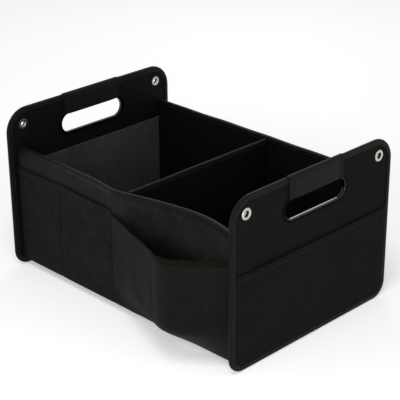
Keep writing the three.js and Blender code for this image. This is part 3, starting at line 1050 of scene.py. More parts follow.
@dataclass(kw_only=True)
class EndPanel(Assembly):
    """A tall end panel with its binding, pockets, handle and eyelets."""

    end: End
    columns: int = 300
    rows: int = 40
    cover_inset: float = 3.4
    cover_flat: tuple[float, float] = (0.4, 0.311)
    cover_share: float = 0.95  # of that rectangle, without its corners and the slot
    hole: float = 5.6
    hole_pull: float = 7.0  # points this near to an eyelet's middle may move out to the hole
    hole_cut: float = 5.2  # cells with their middle nearer than this are left out
    puff: float = 0.9
    slip_inset: float = 10.2
    slip_top: float = 177.0
    slip_sag: float = 2.3
    hem_depth: float = 12.0
    inner_reach: float = 173.0
    inner_top: float = 203.0
    inner_sag: float = 2.2
    wrap_half: float = 67.0
    wrap_top: float = 312.3
    wrap_rows: tuple[float, float] = (62.5, 57.5)

    def __post_init__(self) -> None:
        """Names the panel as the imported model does."""
        self.label = self.end.name.lower()
        self.board = [f"{self.label}_end_board"]

    def way(self, sign: int) -> Triple:
        """The direction out of the panel's outer face, or with -1 out of its inner face."""
        return (float(self.end.value * sign), 0.0, 0.0)

    def at(self, out: Grid | float, y: Grid | float, z: Grid | float) -> Grid:
        """Points of the panel.

        Args:
            out: Distances from the panel's middle plane, outwards.
            y: Places across the panel.
            z: Heights.

        Returns:
            The points.
        """
        sign = self.end.value
        return placed(sign * (self.plan.panel_middle + out), sign * y, z)

    def outline(self, inset: float, count: int) -> tuple[Grid, Grid]:
        """The panel's rounded outline and the way out of it.

        Args:
            inset: How far it is drawn in from the panel's edge.
            count: How many points to give.

        Returns:
            Points as (y, z) and unit vectors as (y, z), going round from the bottom.
        """
        p = self.plan
        half, high = p.panel_depth / 2, p.panel_height
        low, top = p.bottom_radius, p.top_radius
        corners = (
            (half - low, low, low, -90),
            (half - top, high - top, top, 0),
            (top - half, high - top, top, 90),
            (low - half, low, low, 180),
        )
        arcs = [arc(y, z, radius - inset, turn, turn + 90) for y, z, radius, turn in corners]
        return outlined(np.vstack([[(0.0, inset)], *arcs]), count)

    def swept(self, line: Grid, way: Grid, grow: Grid, out: Grid) -> Grid:
        """A section carried along an outline.

        Args:
            line: The outline's points.
            way: The way out of it at each point.
            grow: How far the section's points lie out of the outline.
            out: How far they lie from the panel's middle plane.

        Returns:
            The points.
        """
        flat = line[:, None] + grow[..., None] * way[:, None]
        return self.at(out, flat[..., 0], flat[..., 1])

    def free(self, y: Grid, z: Grid) -> Grid:
        """How free the cloth is, from 0 where it is held to 1 well away from there.

        It is held at the binding, at the handle's trim and under the eyelets: a step of the
        distance to the nearest of a rounded box, a capsule and two circles.

        Args:
            y: Places across the panel.
            z: Heights.

        Returns:
            The freedom at each point.
        """
        p = self.plan
        radius = np.where(z > p.panel_height / 2, p.top_radius, p.bottom_radius)
        side = np.abs(y) - (p.panel_depth / 2 - radius)
        rise = np.abs(z - p.panel_height / 2) - (p.panel_height / 2 - radius)
        corner = np.hypot(np.maximum(side, 0), np.maximum(rise, 0))
        edge = radius - corner - np.minimum(np.maximum(side, rise), 0) - p.tape_width
        nearest = np.clip(y, -p.slot_reach, p.slot_reach)
        slot = np.hypot(y - nearest, z - p.slot_middle) - p.slot_radius - 6
        eyelets = np.hypot(np.abs(y) - p.eyelet_y, z - p.eyelet_z) - p.eyelet_rim
        return smooth(np.minimum(np.minimum(edge, slot), eyelets), 0, 26)

    def cover(self, inside: bool) -> None:
        """One of the panel's two covers, with its slot and its eyelet holes.

        Its rows share out straight rays, which run from the slot to the outline, each
        towards the outline's point from the nearest one of the slot's middle line. Cells
        within an eyelet hole are left out, and the points round it move onto its circle.

        Args:
            inside: Whether it is the cover that looks into the box.
        """
        p = self.plan
        edge, _ = self.outline(self.cover_inset, self.columns)
        core = placed(np.clip(edge[:, 0], -p.slot_reach, p.slot_reach), p.slot_middle)
        start = core + unit(edge - core) * (p.slot_radius + 1.8)
        grid = start + np.linspace(0, 1, self.rows)[:, None, None] * (edge - start)
        grid = grid[:, np.arange(self.columns + 1) % self.columns]
        for side in (-1, 1):
            middle = np.array([side * p.eyelet_y, p.eyelet_z])
            far = np.linalg.norm(grid - middle, axis=-1, keepdims=True)
            moved = middle + (grid - middle) / np.maximum(far, 1e-6) * np.maximum(far, self.hole)
            grid = np.where(far < self.hole_pull, moved, grid)
        cell = (grid[:-1, :-1] + grid[1:, :-1] + grid[:-1, 1:] + grid[1:, 1:]) / 4
        far = np.hypot(np.abs(cell[..., 0]) - p.eyelet_y, cell[..., 1] - p.eyelet_z)
        kept = far >= self.hole_cut
        y, z = grid[..., 0], grid[..., 1]
        name, sign, above, finish = (
            ("inner", -1, self.inner_top, LINING) if inside else ("outer", 1, self.slip_top, SHADED_PANEL)
        )
        seed = 40 + self.end.value * 3 + sign
        relief = 0.5 + 0.5 * ripples(y, z, seed, 95) + 0.18 * ripples(y, z, seed + 9, 34)
        lift = self.puff * relief.clip(0, 1.6) * self.free(y, z) * smooth(z, above + 4, above + 26)
        piece = self.shop.lay(
            f"{self.label}_{name}_cover_cloth",
            self.at(sign * (p.cover_face + lift), y, z),
            finish,
            self.way(sign),
            f"{self.label}_end_{name}_cover",
            cloth=grid,
            kept=kept,
        )
        area = self.cover_flat[0] * self.cover_flat[1] * self.cover_share
        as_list(self.board)

    def binding(self) -> None:
        """The tape folded over the panel's edge, and its two rows of stitches.

        The folded section is carried along the outline, with its depth wandering by a
        fraction of a millimetre.
        """
        p = self.plan
        line, way = self.outline(0.0, 460)
        across, depth = folded_tape(p.tape_face, p.tape, p.tape_width, p.tape_crown).T
        along = np.arange(len(line))[:, None] * 2.9
        wander = 1 + 0.02 * ripples(along, 0, 7 + self.end.value, 60) * (depth > 5)
        grid = self.swept(line, way, -depth * wander, across)
        name, node = f"{self.label}_edge_tape", f"{self.label}_end_binding"
        self.shop.tube(name, grid, TAPE, node, ring=True)
        sewn, _ = self.outline(7.6, 900)
        y, z = np.vstack([sewn, sewn[:1]]).T
        rows = [(self.at(s * (p.tape_face - 0.05), y, z), self.way(s)) for s in (-1, 1)]
        self.shop.sew(f"{self.label}_edge_stitches", rows)

    def slip_at(self, z: Grid | float, s: Grid, lift: float) -> Grid:
        """Points of the open pocket on the outer face.

        Its rows span the panel between the bindings; its upper edge stands off the panel by
        a quartic across and a power of the height.

        Args:
            z: Heights.
            s: Places across, from -1 to 1.
            lift: Distance in front of the cloth's own face.

        Returns:
            The points.
        """
        p = self.plan
        radius = p.bottom_radius - self.slip_inset
        drop = np.clip(p.bottom_radius - z, 0, radius)
        y = (p.panel_depth / 2 - p.bottom_radius + np.sqrt(radius**2 - drop**2)) * s
        shape = (1 - s**4) * (z / self.slip_top) ** 2.2
        sag = self.slip_sag * shape * (1 + 0.25 * ripples(y, z, 15, 120))
        soft = 0.35 * ripples(y, z, 22 + self.end.value, 45) * (1 - s**6) * smooth(z, 20, 60)
        return self.at(p.pocket_face + lift + sag + np.maximum(soft, -0.3), y, z)

    def slip_pocket(self) -> None:
        """The pocket on the outer face, with its folded hem and stitches."""
        p, name, way = self.plan, f"{self.label}_slip_pocket", self.way(1)
        s = np.linspace(-1, 1, 120)
        face = self.slip_at(column(self.slip_inset, self.slip_top, 56), s, 0.0)
        body = self.shop.lay(f"{name}_cloth", face, SHADED_PANEL, way, f"{self.label}_end_slip_pocket")
        foot = self.slip_top - self.hem_depth
        face = self.slip_at(column(foot, self.slip_top + 0.3, 8), s, p.hem_lift)
        hem = self.shop.lay(f"{name}_hem", face, SHADED_PANEL, way, thickness=p.hem)
        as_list(self.board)
        row = self.slip_at(foot + 2, np.linspace(-0.99, 0.99, 200), 0.72)
        self.shop.sew(f"{name}_stitches", [(row, way)])

    def inner_at(self, z: Grid | float, s: Grid, lift: float) -> Grid:
        """Points of the grey sheet on the inner face, which sags a little at its upper edge.

        Args:
            z: Heights.
            s: Places across, from -1 to 1.
            lift: Distance in front of the cloth's own face.

        Returns:
            The points.
        """
        y = self.inner_reach * s
        sag = self.inner_sag * (1 - s**6) * (z / self.inner_top) ** 2
        soft = 0.6 * ripples(y, z, 31 + self.end.value, 90) * (1 - s**6) * smooth(z, 20, 90)
        return self.at(-(self.plan.pocket_face + lift + sag + np.maximum(soft, -0.4)), y, z)

    def inner_pocket(self) -> None:
        """The grey sheet on the inner face, with its corded upper edge."""
        name = f"{self.label}_inner_pocket"
        s = np.linspace(-1, 1, 110)
        face = self.inner_at(column(self.plan.floor_top + 0.5, self.inner_top, 54), s, 0.0)
        node = f"{self.label}_end_inner_pocket"
        body = self.shop.lay(f"{name}_cloth", face, GREY, self.way(-1), node)
        turn = np.linspace(0, 2 * np.pi, 10, endpoint=False)
        ring = placed(np.cos(turn), 0.0, np.sin(turn)) * 1.15
        edge = self.inner_at(self.inner_top, s, -0.4)[:, None] + ring
        piping = self.shop.tube(f"{name}_piping", edge, GREY)
        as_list(self.board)

    def trim(self) -> None:
        """The glossy ring round the slot: a rounded channel carried along its outline."""
        p = self.plan
        half = [
            (-0.45, 0.0), (-0.45, 2.2), (-0.35, 3.4), (0.6, 4.3), (1.8, 4.2), (2.7, 3.1),
            (3.3, 3.0), (4.2, 3.75), (5.3, 3.9), (6.1, 3.4), (6.1, 2.95), (1.5, 2.95), (1.5, 0.0),
        ]
        section = rounded(half + [(grow, -out) for grow, out in half[-2:0:-1]])
        bends = [
            arc(side * p.slot_reach, p.slot_middle, p.slot_radius, start, start + 180)
            for side, start in ((1, -90), (-1, 90))
        ]
        line, way = outlined(np.vstack([[(0.0, p.slot_middle - p.slot_radius)], *bends]), 240)
        grid = self.swept(line, way, section[:, 0], section[:, 1])
        name, node = f"{self.label}_handle_edging", f"{self.label}_handle_trim"
        self.shop.tube(name, grid, TRIM, node, ring=True)

    def wrap(self) -> None:
        """The cloth grip folded over the top edge, from one side of the slot to the other.

        Its section is a folded tape's, carried across the panel; it is padded in the middle
        and pressed in along its rows of stitches.
        """
        p = self.plan
        slot_top = p.slot_middle + p.slot_radius
        section = folded_tape(p.wrap_back + 1.0, 1.0, self.wrap_top - slot_top, 6.0)
        across, depth = section.T
        y = column(-self.wrap_half, self.wrap_half, 130)
        pressed = sum(np.exp(-(((np.abs(y) - row) / 1.3) ** 2)) for row in self.wrap_rows)
        pad = 0.8 * (1 - (y / 60) ** 4).clip(0, 1) - pressed + 0.12 * ripples(y, depth, 51, 26)
        outer = np.arange(len(section)) < len(section) // 2
        reach = across + np.sign(across) * pad * outer * smooth(depth, 1, 8)
        grid = self.at(reach, y, self.wrap_top - depth)
        self.shop.tube(f"{self.label}_handle_grip", grid, WRAP, f"{self.label}_handle_wrap")
        z = np.linspace(slot_top + 2, self.wrap_top - 7, 40)
        places = sorted((*self.wrap_rows, *(-row for row in self.wrap_rows)))
        rows = [
            (self.at(sign * (p.wrap_back + 0.85), place, z), self.way(sign))
            for sign in (-1, 1)
            for place in places
        ]
        self.shop.sew(f"{self.label}_handle_stitches", rows, pitch=3.0, size=0.34)

    def eyelets(self) -> None:
        """The two eyelets with rolled rims, and the washers that they are set in."""
        p, bore, rim = self.plan, self.plan.eyelet_bore, self.plan.eyelet_rim
        rolled = [
            (bore, -3.7), (bore, 1.0), (bore + 0.3, 2.3), (bore + 1.2, 3.8), (bore + 2.6, 4.7),
            (bore + 3.7, 4.7), (bore + 5.0, 4.1), (rim, 3.2), (rim, 2.9), (5.1, 2.9), (5.1, -3.7),
        ]
        flat = [(5.3, -2.95), (rim, -2.95), (rim, -3.4), (9.4, -4.1), (6.4, -4.3), (5.3, -3.9)]
        angle = np.linspace(0, 2 * np.pi, 56, endpoint=False)[:, None]
        for side, which in ((-1, "front"), (1, "back")):
            for part, node, profile in (("ring", "eyelet", rolled), ("washer", "washer", flat)):
                radius, out = rounded(profile).T
                y = p.eyelet_y * side * self.end.value + radius * np.cos(angle)
                grid = self.at(out, y, p.eyelet_z + radius * np.sin(angle))
                name = f"{self.label}_{which}_eyelet_{part}"
                self.shop.tube(name, grid, NICKEL, f"{self.label}_{node}_{which}", ring=True)

    def build(self) -> None:
        """Makes every piece of the end."""
        self.cover(False)
        self.cover(True)
        self.binding()
        self.slip_pocket()
        self.inner_pocket()
        self.trim()
        self.wrap()
        self.eyelets()


@dataclass(kw_only=True)
class Wall(Assembly):
    """A long soft wall: cover, lining, bound upper edge and a loop tape for the divider."""

    side: Side
    sheet_top: float = 237.2
    pocket_top: float = 200.0
    seams_top: float = 229.0
    tape_half: float = 4.6
    loop_half: float = 16.0
    loop_thickness: float = 1.2
    loop_top: float = 224.0
    flat: tuple[float, float] = (0.555, 0.225)

    def __post_init__(self) -> None:
        """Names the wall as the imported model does."""
        self.label = self.side.name.lower()
        self.board = [f"{self.label}_wall_board_mid"]
        self.seams = (self.plan.first_seam, self.plan.second_seam)

    def way(self, sign: int) -> Triple:
        """The direction out of the wall's outer face, or with -1 out of its inner face."""
        return (0.0, float(self.side.value * sign), 0.0)

    def stations(self, high: float, step: float) -> Grid:
        """Places from the wall's far end to another place, close together at the seams.

        Args:
            high: Last place.
            step: Distance between places away from the seams.

        Returns:
            The places in order.
        """
        low = -self.plan.wall_end
        even = np.linspace(low, high, int((high - low) / step) + 1)
        near = np.concatenate([seam + np.linspace(-6, 6, 17) for seam in self.seams])
        even = even[np.min(np.abs(even[:, None] - near), axis=1) > 1.2]
        return np.sort(np.concatenate([even, near[(near > low) & (near < high)]]))

    def seam_groove(self, x: Grid | float, z: Grid | float) -> Grid:
        """How far the cloth is drawn in at the seams: narrow bells with puckers beside them.

        Args:
            x: Places along the wall before the slant.
            z: Heights.

        Returns:
            The depth at each point.
        """
        depth: Grid | float = 0.0
        for seam in self.seams:
            away = np.abs(x - seam)
            pucker = 0.18 * np.exp(-away / 7) * np.sin(2 * np.pi * z / 8.5 + 0.9 * np.sin(z / 13))
            depth = depth + 1.3 * np.exp(-((away / 1.7) ** 2)) + 0.7 * np.exp(-away / 8) + pucker
        return depth

    def at(self, out: Grid | float, x: Grid | float, z: Grid | float) -> Grid:
        """Points of the wall.

        Args:
            out: Distances from the box's middle plane, outwards, before the wall's lean.
            x: Places along the wall where the columns meet its top.
            z: Heights.

        Returns:
            The points.
        """
        along = self.plan.slanted(x, z)
        return placed(along, self.side.value * (out + self.plan.lean(self.side, along, z)), z)

    def cover(self) -> None:
        """The outer cloth, a little full between its seams and free above the pockets."""
        p, front = self.plan, self.side is Side.FRONT
        x = self.stations(p.wall_end, 4.5)
        z = column(p.wall_foot, self.sheet_top, 60)
        free = smooth(z, 14, 40)
        if front:
            beside = smooth(x, p.second_seam, p.second_seam + 30) * smooth(z, 20, 60)
            free = np.maximum(smooth(z, self.pocket_top + 2, self.pocket_top + 14), beside)
        free = free * (1 - smooth(z, 222, 232))
        ends = smooth(p.wall_end - np.abs(x), 0, 18)
        broad, fine = ripples(x, 0.6 * z, 3 + self.side.value, 85), ripples(x, z, 5, 28)
        full = 0.55 + 0.55 * broad + 0.2 * fine
        lift = full.clip(0, 1.5) * free * ends - self.seam_groove(x, z) * 0.8 * ends
        face = self.at(p.wall_outer + np.minimum(lift, 1.2), x, z)
        # The front wall takes the lighter copy of the outer cloth, painted light, with painted
        # shade below the pockets.
        name, finish = f"{self.label}_wall", LIT_WALL if front else OUTER
        piece = self.shop.lay(f"{name}_cloth", face, finish, self.way(1), f"{name}_cover")
        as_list(self.board)

    def lining(self) -> None:
        """The smooth inner cloth, with shallow creases where the boards end."""
        p = self.plan
        x = self.stations(p.wall_end, 5.5)
        z = column(p.wall_foot, self.sheet_top, 44)
        ends = smooth(p.wall_end - np.abs(x), 0, 18)
        lift = 0.35 * ripples(x, z, 12 + self.side.value, 75).clip(-0.6, 1.2) * ends
        lift = lift * (1 - smooth(z, 222, 232)) - 0.5 * self.seam_groove(x, z)
        beside_tape = smooth(np.abs(x - p.divider_x), 18, 34)
        face = self.at(p.wall_inner - lift * beside_tape, x, z)
        name = f"{self.label}_wall_lining"
        piece = self.shop.lay(f"{name}_cloth", face, LINING, self.way(-1), name)
        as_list(self.board)

    def binding(self) -> None:
        """The tape folded over the wall's upper edge, with its stitches."""
        p, name = self.plan, f"{self.label}_wall"
        middle = (p.wall_outer + p.wall_inner) / 2
        across, depth = folded_tape(self.tape_half, p.tape, p.tape_width, p.tape_crown).T
        x = column(-p.wall_end, p.wall_end, 170)
        dip = 0.5 * ripples(x, 0, 61 + self.side.value, 150)
        z = p.wall_top - depth + dip * smooth(p.wall_end - np.abs(x), 0, 40)
        grid = self.at(middle + across, x, z)
        self.shop.tube(f"{name}_edge_tape", grid, TAPE, f"{name}_binding")
        line, z = np.linspace(2 - p.wall_end, p.wall_end - 2, 400), p.wall_top - p.stitch_depth
        reach = self.tape_half - 0.1
        rows = [(self.at(middle + s * reach, line, z), self.way(s)) for s in (-1, 1)]
        self.shop.sew(f"{name}_edge_stitches", rows)

    def seam_stitches(self) -> None:
        """The stitches of the two upright seams, above the pockets or all the way down."""
        p = self.plan
        low = self.pocket_top + 2 if self.side is Side.FRONT else p.wall_foot + 3
        z = np.linspace(low, self.seams_top, 200)
        rows = [(self.at(p.wall_outer - 1.0, seam, z), self.way(1)) for seam in self.seams]
        self.shop.sew(f"{self.label}_wall_seam_stitches", rows, SHADED_SEAM_THREAD)

    def build(self) -> None:
        """Makes every piece of the wall."""
        self.cover()
        self.lining()
        self.binding()
        self.seam_stitches()
        section = strip_section(self.loop_half, -self.loop_thickness, 48)
        name, node = f"{self.label}_loop_strip", f"{self.label}_loop_tape"
        out = self.plan.wall_inner - 0.8
        self.touch_strip(name, self.side, section, out, self.loop_top, BOX, node)


@dataclass(kw_only=True)
class FlatPocket(Assembly):
    """The flat pocket along the front, sewn through the wall at both seams."""

    wall: Wall
    top: float = 200.0
    hem_depth: float = 14.0
    bulge: float = 3.2
    stand: float = 2.2
    least: float = 0.9

    def at(self, x: Grid | float, z: Grid | float, lift: float) -> Grid:
        """Points of the pocket's outer face.

        Between its seams the cloth stands off by a sine across and a power of the height,
        and it is drawn in at the seams, at its foot and at the far end.

        Args:
            x: Places along the wall.
            z: Heights.
            lift: Distance in front of the cloth's own face.

        Returns:
            The points.
        """
        p = self.plan
        far = np.clip((x + p.wall_end) / (p.first_seam + p.wall_end), 0, 1)
        mid = np.clip((x - p.first_seam) / (p.second_seam - p.first_seam), 0, 1)
        across = np.sin(np.pi * far) ** 0.8 + 1.15 * np.sin(np.pi * mid) ** 0.8
        up = np.clip((z - p.wall_foot) / (self.top - p.wall_foot), 0, 1)
        soft = 0.7 * ripples(x, 0.7 * z, 71, 70) * across * smooth(z, 16, 60) * (1 - 0.6 * up**4)
        out = self.stand + self.bulge * across * up**1.6 + np.maximum(soft, -0.5)
        out = np.maximum(out - self.wall.seam_groove(x, z) * 0.75, self.least)
        return self.wall.at(p.wall_outer + out + lift, x, z)

    def build(self) -> None:
        """Makes the pocket's cloth, its folded hem and their stitches."""
        p, way = self.plan, self.wall.way(1)
        x = self.wall.stations(p.second_seam, 3.6)
        face = self.at(x, column(p.wall_foot, self.top, 64), 0.0)
        body = self.shop.lay("front_pocket_cloth", face, OUTER, way, "front_pocket_panel")
        foot = self.top - self.hem_depth
        face = self.at(x, column(foot, self.top + 0.3, 9), p.hem_lift)
        hem = self.shop.lay("front_pocket_hem", face, LIT_HEM, way, thickness=p.hem)
        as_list(self.wall.board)
        line = np.linspace(1 - p.wall_end, p.second_seam - 1, 300)
        z = np.linspace(p.wall_foot + 2, self.top - 1, 300)
        rows = [(self.at(line, foot + rise, 0.74), way) for rise in (1.6, 11.6)]
        rows += [(self.at(seam, z, 0.1), way) for seam in self.wall.seams]
        self.shop.sew("front_pocket_stitches", rows, SHADED_SEAM_THREAD)
        tacks = [
            (self.at(np.linspace(seam - 4, seam + 4, 12), self.top - drop, 0.8), way)
            for seam in (p.first_seam, p.second_seam - 4.2)
            for drop in (2.0, 3.1, 4.2, 5.3)
        ]
        self.shop.sew("front_pocket_bar_tacks", tacks, pitch=1.15, size=0.3)


@dataclass
class NetPocket(Assembly):
    """The pocket drawn taut round an upright bulge: a cloth gusset, a net and its band."""

    gusset_top: float = 192.0
    top: float = 201.0
    radius: float = 48.0
    from_near: float = 103.0
    out: float = 26.0
    knee: float = 66.0
    knee_soft: float = 9.0
    band_width: float = 12.0
    mesh_across: float = 5.2
    mesh_up: float = 5.6
    cord: float = 0.72
    cord_share: float = 0.92  # half of the cords' whole surface over the net's flat size
    facing: Triple = (0.3, -1.0, 0.0)

    def __post_init__(self) -> None:
        """Works out the plan line: a straight run, an arc and a straight run back."""
        p = self.plan
        self.back = p.wall_outer + 0.8
        x = p.second_seam + 0.3
        self.seam = np.array([x, -self.back - p.lean(Side.FRONT, x, self.gusset_top)])
        self.near = np.array([p.wall_end - 1.0, -self.back])
        self.middle = np.array([p.wall_end - self.from_near, -p.wall_outer - self.out])
        self.start = self.tangent(self.seam, 1) - 2 * math.pi
        self.end = self.tangent(self.near, -1)
        self.first, self.last = (self.bent(angle) for angle in (self.start, self.end))
        self.gusset_run = float(np.linalg.norm(self.first - self.seam))
        self.bend_end = self.gusset_run + self.radius * (self.end - self.start)
        self.near_run = float(np.linalg.norm(self.near - self.last))
        self.run = self.bend_end + self.near_run

    def tangent(self, point: Grid, turn: int) -> float:
        """The angle at which a line from a point touches the bulge."""
        gap = point - self.middle
        reach = math.acos(self.radius / float(np.linalg.norm(gap)))
        return math.atan2(gap[1], gap[0]) + turn * reach

    def bent(self, angle: Grid | float) -> Grid:
        """Points of the bulge at angles about its middle."""
        return self.middle + self.radius * placed(np.cos(angle), np.sin(angle))

    def line(self, distance: Grid) -> Grid:
        """Points of the plan line, as (x, y), at distances from the seam."""
        d = distance[..., None]
        straight = self.seam + (self.first - self.seam) * d / self.gusset_run
        bent = self.bent(self.start + (distance - self.gusset_run) / self.radius)
        back = self.last + (self.near - self.last) * (d - self.bend_end) / self.near_run
        return np.where(d < self.bend_end, np.where(d < self.gusset_run, straight, bent), back)

    def edge(self, distance: Grid | float) -> Grid:
        """Height of the pocket's upper edge, which rises along the gusset."""
        rise = np.clip(distance / self.gusset_run, 0, 1)
        return self.gusset_top + (self.top - self.gusset_top) * rise

    def at(self, distance: Grid | float, z: Grid | float) -> Grid:
        """Points of the pocket; below the knee it tucks back to the foot of the wall.

        The tuck is the smaller of a straight ramp and 1, softened by a root so that the knee
        is round. Towards the seam the gusset leans and slants as the seam does.

        Args:
            distance: Distances along the plan line.
            z: Heights.

        Returns:
            The points.
        """
        p, seam = self.plan, self.seam[0]
        distance, z = np.broadcast_arrays(distance, z)
        plan = self.line(distance)
        share = np.clip(1 - distance / self.gusset_run, 0, None)
        lean = p.lean(Side.FRONT, seam, self.gusset_top) - p.lean(Side.FRONT, seam, z)
        foot = seam + distance / self.run * (self.near[0] - seam)
        ramp = (z - p.wall_foot) / (self.knee - p.wall_foot)
        soft = (self.knee_soft / (self.knee - p.wall_foot)) ** 2
        tuck = (1 + ramp - np.sqrt((1 - ramp) ** 2 + soft)) / 2
        tuck = tuck - (1 - np.sqrt(1 + soft)) / 2 * (1 - np.clip(ramp, 0, 1))
        tuck = tuck.clip(0, 1)
        slant = p.seam_slant * (1 - p.share(z)) * share.clip(0, 1)
        x = foot + tuck * (plan[..., 0] - foot) - slant
        return placed(x, -self.back + tuck * (plan[..., 1] + share * lean + self.back), z)

    def outward(self, distance: Grid | float, z: Grid | float) -> Grid:
        """The way out of the pocket at each point, from differences of nearby points."""
        step = 0.4
        across = self.at(distance + step, z) - self.at(distance - step, z)
        up = self.at(distance, z + step) - self.at(distance, z - step)
        return unit(np.cross(across, up))

    def gusset_at(self, d: Grid | float, s: Grid | float, foot: float, lift: float) -> Grid:
        """Points of the gusset's outer face.

        Args:
            d: Distances along the plan line.
            s: Places up the face, from 0 at its foot to 1 at the upper edge.
            foot: Where its foot lies, from 0 at the wall's foot to 1 at the upper edge.
            lift: Distance in front of the cloth's own face.

        Returns:
            The points.
        """
        low, height = self.plan.wall_foot, self.edge(d) - self.plan.wall_foot
        z = low + (foot + s * (1 - foot)) * height
        ends = smooth(d, 0, 25) * (1 - smooth(d, self.gusset_run - 25, self.gusset_run))
        out = 0.9 + lift + 0.5 * ripples(d, z, 81, 55) * ends
        return self.at(d, z) + self.outward(d, z) * out[..., None]

    def gusset(self) -> None:
        """The cloth part beside the seam, with its turned upper hem and stitches."""
        p, name, hem_foot = self.plan, "net_pocket_gusset", 0.935
        d = np.linspace(0.3, self.gusset_run + 1.0, 60)
        face = self.gusset_at(d, column(0, 1, 60), 0.0, 0.0)
        body = self.shop.lay(f"{name}_cloth", face, SHADED_GUSSET, self.facing, name)
        face = self.gusset_at(d, column(0, 1, 8), hem_foot, p.hem_lift)
        hem = self.shop.lay(f"{name}_hem", face, OUTER, self.facing, thickness=p.hem)
        across = self.gusset_at(d, 0.12, hem_foot, 0.74)
        up = self.gusset_at(d[-3], np.linspace(0.02, 0.98, 120), 0.0, 0.1)
        rows = [(across, self.facing), (up, self.facing)]
        self.shop.sew(f"{name}_stitches", rows, SHADED_SEAM_THREAD)

    def net(self) -> None:
        """The net: two families of slanting cords, wider where they are knotted.

        Each cord is a straight line in the unrolled pocket, clipped to its edges, carried
        onto the pocket and given a flat six-sided section whose width swells by a power of
        a cosine at each crossing.
        """
        heights = np.linspace(self.plan.wall_foot, self.top - self.band_width + 2, 300)
        up = lengths_along(self.at((self.gusset_run + self.bend_end) / 2, heights))
        low, high, height = self.gusset_run, self.run - 1.0, float(up[-1])
        slope = self.mesh_up / self.mesh_across
        reach = height / slope
        turn = np.linspace(0, 2 * np.pi, 6, endpoint=False)[:, None]
        cords = []
        for sign in (1, -1):
            # A cord runs from (shift, 0) to (shift + sign * reach, height) before clipping
            shift = np.arange(low - reach, high + reach, self.mesh_across)[:, None]
            first, last = (
                (np.clip(end, low, high) - shift) * sign * slope
                for end in (shift, shift + sign * reach)
            )
            kept = (last - first > self.mesh_up)[:, 0]
            rise = (first + np.linspace(0, 1, 96) * (last - first))[kept]
            distance = shift[kept] + sign * rise / slope
            level = np.interp(rise, up, heights)
            middle, out = self.at(distance, level), self.outward(distance, level)
            side = np.cross(out, unit(np.gradient(middle, axis=1)))
            knot = (0.5 + 0.5 * np.cos(4 * np.pi * rise / self.mesh_up)) ** 2
            wide = (self.cord * (0.8 + 0.75 * knot))[..., None, None]
            high_at = 0.42 * np.sin(turn) + 0.8 + 0.25 * sign
            ring = wide * np.cos(turn) * side[:, :, None] + high_at * out[:, :, None]
            cords.append(middle[:, :, None] + ring)
        steps = np.array([0.0, 2.0]), np.array([0.5, 0.0])
        piece = self.shop.strands("net_pocket_net_cords", np.concatenate(cords), *steps)
        self.shop.dress(piece, CORDAGE, BOX, "net_pocket_net")
        size = ((high - low) * MILLIMETRE, height * MILLIMETRE)
        area = self.cord_share * size[0] * size[1]

    def band(self) -> None:
        """The elastic band: a rounded flat section carried along the upper edge."""
        wide = self.band_width
        corners = [(0.2, 0.0), (1.9, 0.4), (2.2, 6.0), (1.9, wide - 0.4), (0.2, wide), (0.0, 6.0)]
        out, rise = outlined(rounded(corners), 40)[0].T
        bend = np.linspace(self.gusset_run - 4, self.bend_end, 60)
        back = np.linspace(self.bend_end, self.run - 0.3, 50)
        d = np.append(bend, back[1:])[:, None]
        z = self.edge(d) - wide + rise
        grid = self.at(d, z) + self.outward(d, z) * (0.35 + out)[:, None]
        self.shop.tube("net_pocket_elastic", grid, ELASTIC, "net_pocket_band")

    def build(self) -> None:
        """Makes every piece of the pocket."""
        self.gusset()
        self.net()
        self.band()


@dataclass
class Floor(Assembly):
    """The two-part base: its outer cloth under the boards and its lining over them."""

    fold_depth: float = 0.55
    fold_width: float = 1.8

    def build(self) -> None:
        """Makes both cloths; the lining dips into the fold between the boards."""
        p, boards = self.plan, ["base_board_far", "base_board_near"]
        even = np.linspace(-p.wall_end, p.wall_end, 90)
        x = np.sort(np.append(even, np.linspace(-5, 5, 15)))
        y = column(-p.wall_outer, p.wall_outer, 60)
        rise = 0.35 * ripples(x, y, 90, 110).clip(-1, 0) * smooth(p.wall_outer - np.abs(y), 0, 20)
        face = placed(x, y, p.foot + 0.1 - rise)
        cover = self.shop.lay("base_under_cloth", face, OUTER, DOWN, "base_cover")
        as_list(boards)
        y = column(1 - p.wall_inner, p.wall_inner - 1, 60)
        fold = self.fold_depth * np.exp(-((x / self.fold_width) ** 2))
        fold = fold + 0.15 * np.exp(-np.abs(x) / 8)
        soft = 0.2 * ripples(x, y, 91, 60).clip(-0.8, 1)
        face = placed(x, y, p.floor_top + 0.2 + soft - fold)
        lining = self.shop.lay("base_lining_cloth", face, LINING, UP, "base_lining", thickness=0.6)
        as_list(boards)


